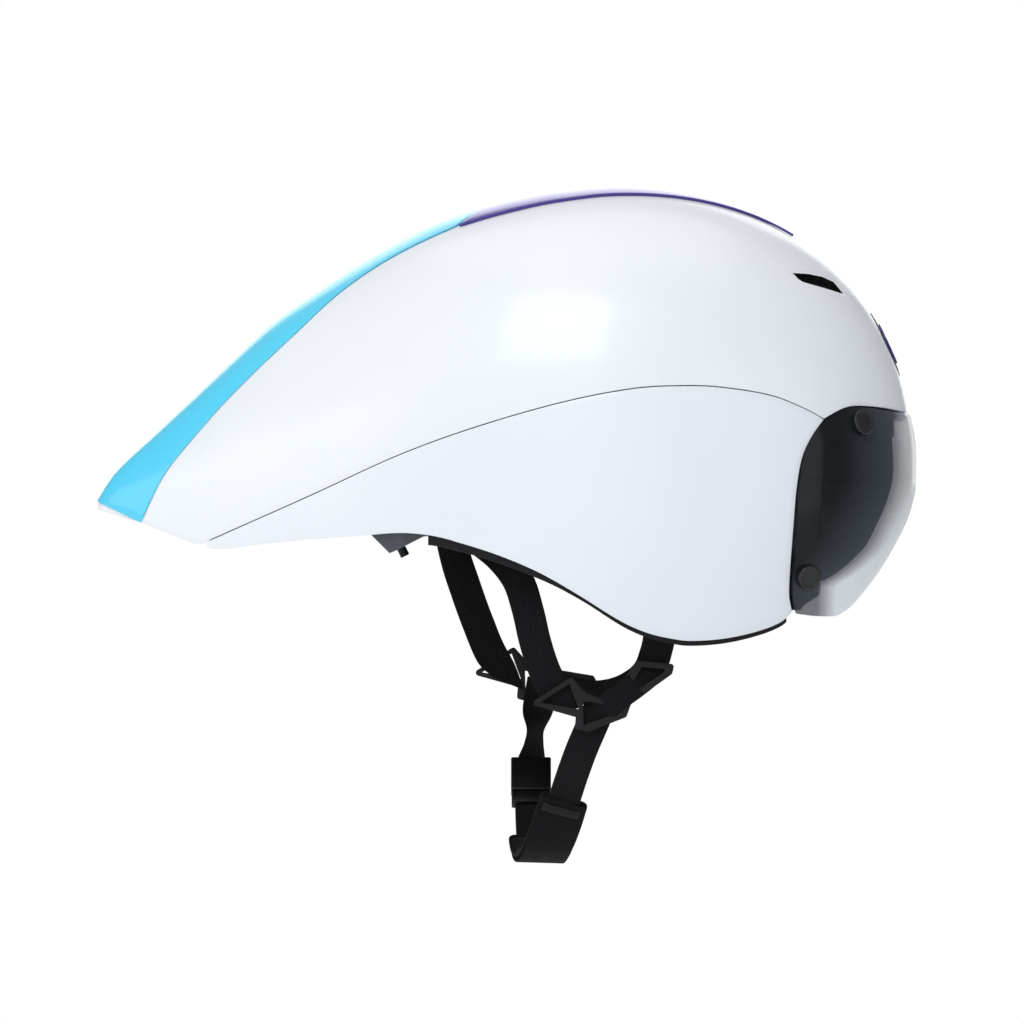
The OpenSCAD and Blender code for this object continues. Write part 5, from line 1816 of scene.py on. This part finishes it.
@dataclass
class Lining:
    """Foam liner and the comfort pads on its inside."""

    pad_t: float = 5
    head_w: float = 79
    head_h: float = 89
    head_front: float = 98

    def brow(self) -> Grid:
        """Returns the room's surface under the brow pad.

        Returns:
            Columns of points from right to left.
        """
        out = []
        for i in range(49):
            y = (i / 24 - 1) * 0.56 * self.head_w
            row = []
            for j in range(17):
                z = self.head_h * lerp(0.26, 0.5, j / 16)
                row.append((FORM.room.nose(y, z), y, z))
            out.append(row)
        return out

    def crown(self) -> Grid:
        """Returns the room's surface under the right crown pad.

        Returns:
            Columns of points from rear to front.
        """
        out = []
        for i in range(49):
            x = self.head_front * lerp(-0.45, 0.5, i / 48)
            ys = [-self.head_w * lerp(0.42, 0.2, j / 12) for j in range(13)]
            out.append([(x, y, FORM.room_crest(x, y)) for y in ys])
        return out

    def temple(self) -> Grid:
        """Returns the room's surface under the right temple pad.

        Returns:
            Columns of points from rear to front.
        """
        out = []
        for i in range(29):
            x = self.head_front * lerp(0.22, 0.6, i / 28)
            zs = [self.head_h * lerp(0.1, 0.36, j / 16) for j in range(17)]
            out.append([(x, -FORM.room_side(x, z), z) for z in zs])
        return out

    def build(self) -> None:
        """Makes the pads and dresses the foam."""
        Cushion("brow_cushion", self.brow(), seams=(0.25, 0.5, 0.75)).build("brow_pad")
        for side, turn in (("right", lambda g: g), ("left", flipped)):
            Cushion(f"crown_cushion_{side}", turn(self.crown()), seams=(0.33, 0.67)).build(f"crown_pad_{side}")
            Cushion(f"temple_cushion_{side}", turn(self.temple()), seams=(0.5,)).build(f"temple_pad_{side}")
        for part in ("front_right", "front_left", "rear_right", "rear_left"):
            dress_node(f"foam_{part}", Finish.FOAM)


# Fit system


@dataclass
class FitSystem:
    """Cradle at the nape with its dial, racks, belts and button."""

    belt_t: float = 1.2
    cradle_x: float = -103.03
    cradle_top_z: float = -20.05
    cradle_h: float = 41.6
    nape_r: float = 68.8
    button_tilt: float = 153
    belt_route: Table = ((-123.85, 34, -37.93), (-107.2, 47.4, -39.16), (-95.76, 54.51, -32.04),
                         (-78.6, 63.2, -25.81), (-57, 68.34, -24.03), (-28.5, 72.29, -24.03),
                         (0, 73.47, -24.03), (19.6, 72.68, -24.03), (34.3, 69.13, -24.03),
                         (47.04, 66.2, -24.03), (54.88, 65.97, -24.03))

    def belt(self, name: str, side: int) -> bpy.types.Object:
        """Returns one head belt, a strip with raised edges, with side -1 on the right and 1 on the left.

        Args:
            name: Name of the belt.
            side: -1 on the right and 1 on the left.

        Returns:
            The belt.
        """
        line = route(self.belt_route, 1.6)
        profile = [-6, -5.6, -4.9, -4.5, -2, 0, 2, 4.5, 4.9, 5.6, 6]
        rise = [0, 0.1, 0.1, -0.12, -0.12, -0.12, -0.12, -0.12, 0.1, 0.1, 0]
        grid = []
        for k, p in enumerate(line):
            a, b = line[max(k - 1, 0)], line[min(k + 1, len(line) - 1)]
            out = np.array((a[1] - b[1], b[0] - a[0], 0.0))
            out /= np.linalg.norm(out)
            grid.append([tuple(p + out * h + (0, 0, z)) for z, h in zip(profile, rise)])
        if side < 0:
            grid = [[(x, -y, z) for x, y, z in col] for col in grid]
        obj = skin(name, grid)
        apply(obj, "SOLIDIFY", thickness=(self.belt_t - 0.1) * MM, offset=0)
        return soft_edges(obj, 0.3, 2, 40)

    def nape(self) -> Grid:
        """Returns the surface that the nape pad lies on.

        Returns:
            Columns of points from right to left.
        """
        out = []
        for i in range(49):
            a = (i / 24 - 1) * math.asin(28 / 70) * 0.92
            row = []
            for j in range(17):
                z = self.cradle_top_z + self.cradle_h * (-0.7 + 0.62 * lerp(0.06, 0.94, j / 16))
                row.append((self.cradle_x + self.nape_r - self.nape_r * math.cos(a), self.nape_r * math.sin(a), z))
            out.append(row)
        return out

    def spring(self) -> bpy.types.Object:
        """Returns the coil spring behind the button, along its tilted axis.

        Returns:
            The spring.
        """
        low, high = (Vector(c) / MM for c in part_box("button_spring"))
        tilt = math.radians(self.button_tilt)
        axis = np.array((math.sin(tilt), 0, math.cos(tilt)))
        u = np.array((math.cos(tilt), 0, -math.sin(tilt)))
        centre = (np.array(low) + np.array(high)) / 2
        wide = (high.y - low.y) / 2
        half = ((high.x - low.x) / 2 - wide * abs(math.cos(tilt))) / abs(math.sin(tilt)) - 0.35
        line = []
        for k in range(101):
            turn = 2 * math.pi * 5 * k / 100
            ring = (wide - 0.4) * (math.cos(turn) * u + math.sin(turn) * np.array((0, 1, 0)))
            line.append(centre + axis * half * (k / 50 - 1) + ring)
        return tube("button_coil", np.array(line), 0.35, 6)

    def build(self) -> None:
        """Makes the cradle's pieces and dresses the rest."""
        place(softened("cradle_body", "nape_cradle", 0.5), Finish.GREY, stands_for=["cradle_body"])
        place(softened("fit_dial", "ribbed_dial", 0.5), Finish.BLACK, "dial", ["fit_dial"])
        place(softened("release_button", "height_button", 0.4), Finish.BLACK, "button", ["release_button"])
        place(softened("cradle_bracket", "cradle_hanger", 0.3), Finish.GREY, stands_for=["cradle_bracket"])
        spring = place(self.spring(), Finish.STEEL, stands_for=["button_spring"])
        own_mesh(spring)
        for side, sign in (("right", -1), ("left", 1)):
            belt = dress(self.belt(f"head_strip_{side}", sign), Finish.BELT)
            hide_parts(f"head_belt_{side}")
            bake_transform(belt)
            dress_node(f"belt_rack_{side}", Finish.BELT)
        Cushion("nape_cushion", self.nape(), side=1, seams=(0.5,)).build("nape_pad")
        dress_node("drive_pinion", Finish.STEEL)
        dress_node("cradle_screws", Finish.STEEL)
        dress_node("belt_pins", Finish.BLACK)


# Harness


@dataclass
class Strap:
    """One length of webbing.

    Attributes:
        name: Name of the strap.
        rows: Places in shares of the chin's depth and the spread, and the width's angle from the side and in plan.
        side: 1 on the right and -1 on the left.
        lift: How far outwards it lies of the other straps, in millimetres.
        pinch: Shares of its length, and of its width there, where a guide gathers it.
        width: Its width in millimetres.
        thick: Its thickness in millimetres.
        depth: Depth of the chin under the head's centre, in millimetres.
        spread: Half the distance between the straps of both sides, in millimetres.
    """

    name: str
    rows: Table
    side: int
    lift: float = 0
    pinch: Table = ((0, 1), (1, 1))
    width: float = 16
    thick: float = 1.3
    depth: float = 216
    spread: float = 73

    def lines(self, step: float = 1.2) -> tuple[np.ndarray, np.ndarray]:
        """Returns the middle line and the direction of the width along it.

        Args:
            step: Distance between the points.

        Returns:
            The points of the middle line, and the direction across at each.
        """
        full = [(r[0] * self.depth, -self.side * (r[1] * self.spread + self.lift), r[2] * self.depth, r[3],
                 r[4] if len(r) > 4 else 0) for r in self.rows]
        line = route(full, step)
        a, plan = np.radians(line[:, 3]), np.radians(line[:, 4])
        wide = np.stack([np.cos(a) * np.cos(plan), -self.side * np.sin(plan), np.sin(a)], axis=1)
        return line[:, :3], wide

    def across(self) -> np.ndarray:
        """Returns places across the width, closer together at the selvedges."""
        half = self.width / 2
        return np.array([-half, -half + 0.5, -half + 1.2, -half + 3, -2, 0, 2, half - 3, half - 1.2, half - 0.5, half])

    def tape(self) -> bpy.types.Object:
        """Returns the webbing with its map in millimetres.

        Returns:
            The webbing.
        """
        line, wide = self.lines()
        way = np.gradient(line, axis=0)
        up = np.cross(way, wide)
        up /= np.linalg.norm(up, axis=1, keepdims=True)
        across = self.across()
        dip = 0.12 * np.cos(math.pi * across / self.width)
        along = np.concatenate([[0], np.cumsum(np.linalg.norm(np.diff(line, axis=0), axis=1))])
        gather = [curve(self.pinch, s / along[-1]) for s in along]
        grid = [[tuple(p + w * a * g + n * (d + 0.5 * (1 - g) * math.cos(a * 1.9))) for a, d in zip(across, dip)]
                for p, w, n, g in zip(line, wide, up, gather)]
        obj = skin(self.name, grid)
        set_uv(obj, len(grid), len(across), across + self.width / 2, along)
        apply(obj, "SOLIDIFY", thickness=(self.thick - 0.15) * MM, offset=0)
        soft_edges(obj, 0.35, 3, 50)
        LOG.info("%s is %.0f mm long", self.name, along[-1])
        return obj

    def spot(self, at: float) -> tuple[np.ndarray, np.ndarray, np.ndarray, np.ndarray]:
        """Returns a place at a share of the strap's rows, with its directions across, along and off the tape.

        Args:
            at: The share.

        Returns:
            The place and the three directions.
        """
        line, wide = self.lines()
        k = min(len(line) - 2, max(1, round(at * (len(line) - 1))))
        way = line[k + 1] - line[k - 1]
        way /= np.linalg.norm(way)
        up = np.cross(way, wide[k])
        up /= np.linalg.norm(up)
        return line[k], wide[k] / np.linalg.norm(wide[k]), way, up


def keeper(name: str, strap: Strap, at: float, long: float = 5) -> bpy.types.Object:
    """Makes the moulded loop that keeps a strap's tail.

    Args:
        name: Name of the loop.
        strap: The strap that it goes round.
        at: Its place as a share of the strap.
        long: Its length along the strap in millimetres.

    Returns:
        The loop.
    """
    here, wide, way, up = strap.spot(at)
    half_w, half_t = strap.width / 2 + 1.9, 2.3
    grid = []
    for k in range(49):
        t = 2 * math.pi * k / 48
        c, s = math.cos(t), math.sin(t)
        x = half_w * math.copysign(abs(c) ** 0.35, c)
        z = half_t * math.copysign(abs(s) ** 0.6, s)
        inner = (x * (1 - 1.3 / half_w), z * (1 - 1.2 / half_t))
        loop = [(inner, -long / 2), ((x, z), -long / 2), ((x, z), long / 2), (inner, long / 2), (inner, -long / 2)]
        grid.append([tuple(here + wide * a + up * b + way * h) for (a, b), h in loop])
    obj = skin(name, grid, merge=True)
    edit_all(obj, lambda: bpy.ops.mesh.normals_make_consistent(inside=False))
    return soft_edges(obj, 0.35, 2, 50)


def stitches(name: str, strap: Strap, at: float, rows: Sequence[float], count: int = 7,
             pitch: float = 2.2, face: float = 1) -> bpy.types.Object:
    """Makes rows of short stitches across or along a strap.

    Args:
        name: Name of the stitches.
        strap: The strap that they are sewn in.
        at: Their place as a share of the strap.
        rows: Offsets of the rows along the strap, in millimetres.
        count: Number of stitches in a row.
        pitch: Distance between stitches.
        face: 1 or -1, the face of the tape.

    Returns:
        The stitches as one object.
    """
    here, wide, way, up = strap.spot(at)
    made = []
    for row in rows:
        for k in range(count):
            middle = here + way * row + wide * (k - (count - 1) / 2) * pitch + up * face * 0.55
            reach = wide * pitch * 0.36
            line = np.array([middle - reach - up * face * 0.25, middle - reach * 0.6, middle,
                             middle + reach * 0.6, middle + reach - up * face * 0.25])
            made.append(tube("stitch", line, 0.24, 6))
    return joined(name, made)


@dataclass
class Harness:
    """Straps, dividers, chin pad and buckle."""

    rear_right: Table = ((-.474, .815, -.195, 20, 26), (-.46, .83, -.235, 20, 26), (-.41, .9, -.262, 38, 16),
                         (-.362, .94, -.302, 34), (-.328, .955, -.35, 18), (-.306, .965, -.417, 8),
                         (-.289, .96, -.49, 12), (-.266, .95, -.56, 22), (-.24, .95, -.61, 20),
                         (-.214, .95, -.646, 4))
    front_right: Table = ((.009, 1.055, -.3, 0), (.006, 1.05, -.389, 0), (.002, 1.04, -.454, 0),
                          (-.007, .97, -.505, -3), (-.016, .948, -.542, -8), (-.028, .95, -.572, -28),
                          (-.054, .95, -.592, -62), (-.09, .95, -.605, -72), (-.122, .95, -.614, -74))
    chin_right: Table = ((-.127, .95, -.614, -18), (-.1445, .95, -.654, -18), (-.158, .95, -.685, -20),
                         (-.178, .89, -.731, -20), (-.2, .74, -.79, -19), (-.222, .55, -.857, -16), (-.243, .36, -.925, -12),
                         (-.262, .17, -.975, -6), (-.277, -.01, -.995, -2), (-.288, -.17, -.985, 0),
                         (-.295, -.32, -.945, 2), (-.2986, -.4485, -.8683, 0))
    rear_left: Table = ((-.478, .81, -.195, 4, 26), (-.484, .805, -.25, 4, 26), (-.472, .84, -.3, 14, 16),
                        (-.449, .88, -.37, 18), (-.42, .92, -.45, 20), (-.39, .94, -.52, 24),
                        (-.374, .945, -.546, 10), (-.36, .948, -.57, -10),
                        (-.35, .95, -.588, -22))
    front_left: Table = ((.009, 1.055, -.3, 0), (.006, 1.05, -.389, 0), (.002, 1.04, -.454, 0),
                         (-.007, 1, -.505, -3), (-.03, .96, -.562, -30), (-.085, .955, -.596, -66),
                         (-.155, .95, -.605, -78), (-.225, .95, -.59, -84), (-.262, .95, -.58, -86))
    chin_left: Table = ((-.27, .95, -.575, -8), (-.278, .95, -.623, -6), (-.283, .95, -.65, -4, 20),
                        (-.288, .89, -.69, -2, 58), (-.292, .8, -.724, 0, 55), (-.2986, .6735, -.7636, 0, 30))
    over_guide: Table = ((-.022, .945, -.556, -24), (-.036, .96, -.574, -40), (-.058, .992, -.592, -52),
                         (-.09, 1.0, -.615, -56), (-.122, .992, -.64, -56), (-.14, .96, -.655, -56),
                         (-.152, .945, -.664, -56))
    left_seat: tuple[float, float] = (-57.9, -117.9)
    left_bend: tuple[float, float] = (-7, 15)
    left_tilt: float = 56
    pad_rows: tuple[int, int] = (5, 11)
    gather: Table = ((0, 1), (0.5, 1), (0.66, 0.8), (0.8, 0.68), (1, 0.8))
    pad_w: float = 23
    pad_t: float = 5

    def pad_grid(self) -> Grid:
        """Returns the middle surface of the strap under the chin pad.

        Returns:
            Columns of points along the strap.
        """
        line, wide = Strap("chin", self.chin_right[self.pad_rows[0]:self.pad_rows[1]], 1, -0.2).lines(1.5)
        return [[tuple(p + w * a) for a in np.linspace(-self.pad_w / 2, self.pad_w / 2, 17)]
                for p, w in zip(line, wide)]

    def hang(self, guide: bpy.types.Object) -> None:
        """Bends the left guide's front frame down, as its straps pull it.

        Args:
            guide: The left guide.
        """
        co = points_of(guide) / MM
        x, z = co[:, 0] - self.left_seat[0], co[:, 2] - self.left_seat[1]
        share = np.clip((x - self.left_bend[0]) / (self.left_bend[1] - self.left_bend[0]), 0, 1)
        angle = math.radians(self.left_tilt) * share * share * (3 - 2 * share)
        co[:, 0] = self.left_seat[0] + x * np.cos(angle) + z * np.sin(angle)
        co[:, 2] = self.left_seat[1] - x * np.sin(angle) + z * np.cos(angle)
        set_points(guide, co * MM)

    def build(self) -> None:
        """Makes the straps and what hangs on them."""
        straps = {
            "rear_strap_right": Strap("rear_tape_right", self.rear_right, 1, 0.14),
            "front_strap_right": Strap("front_tape_right", self.front_right, 1, -0.5, self.gather),
            "rear_strap_left": Strap("rear_tape_left", self.rear_left, -1, 0.14),
            "front_strap_left": Strap("front_tape_left", self.front_left, -1, -0.5, self.gather),
            "chin_strap_left": Strap("chin_tape_left", self.chin_left, -1, -0.2),
        }
        for node, strap in straps.items():
            place(strap.tape(), Finish.TAPE, stands_for=[node])
        chin = Strap("chin_tape_right", self.chin_right, 1, -0.2)
        tape = dress(chin.tape(), Finish.TAPE)
        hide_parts("chin_strap_right")
        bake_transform(tape)
        guides = {side: softened(f"strap_divider_{side}", f"strap_guide_{side}", 0.95, 3, plain=False)
                  for side in ("right", "left")}
        self.hang(guides["left"])
        for side, guide in guides.items():
            place(guide, Finish.GUIDE, stands_for=[f"strap_divider_{side}"])
        place(Strap("guide_tape_right", self.over_guide, 1, 0, ((0, 0.8), (1, 0.8))).tape(), Finish.TAPE)
        place(softened("buckle_socket", "buckle_case", 1.3, 4), Finish.BLACK, stands_for=["buckle_socket"])
        place(softened("buckle_tongue", "buckle_insert", 0.7, 3), Finish.BLACK, "buckle", ["buckle_tongue"])
        Cushion("chin_cushion", self.pad_grid(), gap=1.05, thick=self.pad_t, seams=(), finish=Finish.SLEEVE,
                body="buckle", cap=1.2).build("chin_pad")
        cover = wall("chin_sleeve", raised(self.pad_grid(), 1.5), 0.6, 0.25)
        place(cover, Finish.SLEEVE, "buckle")
        place(keeper("chin_keeper", chin, 0.44), Finish.GUIDE, "buckle")
        place(stitches("chin_stitches", chin, 0.97, (0, -1.6, -3.2)), Finish.THREAD, "buckle")
        place(stitches("buckle_stitches", straps["chin_strap_left"], 0.6, (0, -1.6, -3.2)), Finish.THREAD)
        dress_node("strap_anchors", Finish.BLACK)


# Studio


@dataclass
class Studio:
    """Pale floor, soft lights and a camera at the helmet's right side."""

    middle: Point = (-0.074, 0, -0.041)
    frame_w: float = 0.512
    floor_z: float = -0.34
    away: float = 3.0
    lights: Sequence[tuple] = (
        ("key", (-0.7, -1.7, 1.5), 19.5, 1.2), ("fill", (1.3, -1.6, 0.2), 7, 1.6, (0.94, 0.97, 1)),
        ("low", (-0.4, -1.9, -0.25), 5, 1.4, (0.95, 0.98, 1)), ("streak", (-1.6, -0.9, 0.2), 4, 0.7),
        ("top", (-0.1, 0.2, 2.4), 18, 2.4), ("far_side", (-0.2, 2.4, 0.6), 22, 2.0))

    def light(self, name: str, at: Point, power: float, size: float, colour: Point = (1, 1, 1)) -> None:
        """Adds a soft light.

        Args:
            name: Name of the light.
            at: Its place in metres, from which it shines at the helmet.
            power: Its power in watts.
            size: Width of its square in metres.
            colour: Its colour.
        """
        data = bpy.data.lights.new(name, "AREA")
        data.energy, data.size, data.color = power, size, colour
        obj = bpy.data.objects.new(name, data)
        obj.location = at
        obj.rotation_euler = (Vector(self.middle) - Vector(at)).to_track_quat("-Z", "Y").to_euler()
        bpy.context.scene.collection.objects.link(obj)

    def build(self) -> None:
        """Makes the camera, the floor, the lights and the sky."""
        scene = bpy.context.scene
        data = bpy.data.cameras.new("side_view")
        data.type, data.ortho_scale = "ORTHO", self.frame_w
        camera = bpy.data.objects.new("side_view", data)
        camera.location = (self.middle[0], -self.away, self.middle[2])
        camera.rotation_euler = (math.pi / 2, 0, 0)
        scene.collection.objects.link(camera)
        scene.camera = camera
        bpy.ops.object.select_all(action="DESELECT")
        bpy.ops.mesh.primitive_grid_add(x_subdivisions=8, y_subdivisions=8, size=1)
        floor = bpy.context.active_object
        floor.name = floor.data.name = "floor"
        set_points(floor, points_of(floor) * (9, 9, 1) + (0, 0, self.floor_z))
        deck = Deck("pale_floor")
        tone = deck.noise(deck.place(), 2, 2)
        deck.set(Base_Color=deck.blend(tone, (0.92, 0.93, 0.94, 1), (0.9, 0.91, 0.92, 1)), Roughness=0.8)
        floor.data.materials.append(deck.material)
        world = bpy.data.worlds.new("studio")
        scene.world = world
        world.use_nodes = True
        tree = world.node_tree
        seen, lit = tree.nodes["Background"], tree.nodes.new("ShaderNodeBackground")
        path, mix = tree.nodes.new("ShaderNodeLightPath"), tree.nodes.new("ShaderNodeMixShader")
        seen.inputs[0].default_value = (1, 1, 1, 1)
        lit.inputs[0].default_value = (0.95, 0.97, 1, 1)
        lit.inputs[1].default_value = 0.32
        for a, b in ((path.outputs["Is Camera Ray"], mix.inputs[0]), (lit.outputs[0], mix.inputs[1]),
                     (seen.outputs[0], mix.inputs[2]), (mix.outputs[0], tree.nodes["World Output"].inputs[0])):
            tree.links.new(a, b)
        for values in self.lights:
            self.light(*values)
        scene.view_settings.view_transform = "Standard"


def main() -> None:
    """Builds the helmet's sub-assemblies in order."""
    logging.basicConfig(level=logging.INFO, format="%(message)s")
    for part in (Studio(), ShellSet(), RimTrim(), Visor(), Lining(), FitSystem(), Harness()):
        LOG.info("building the %s", type(part).__name__)
        part.build()


if __name__ == "__main__":
    main()
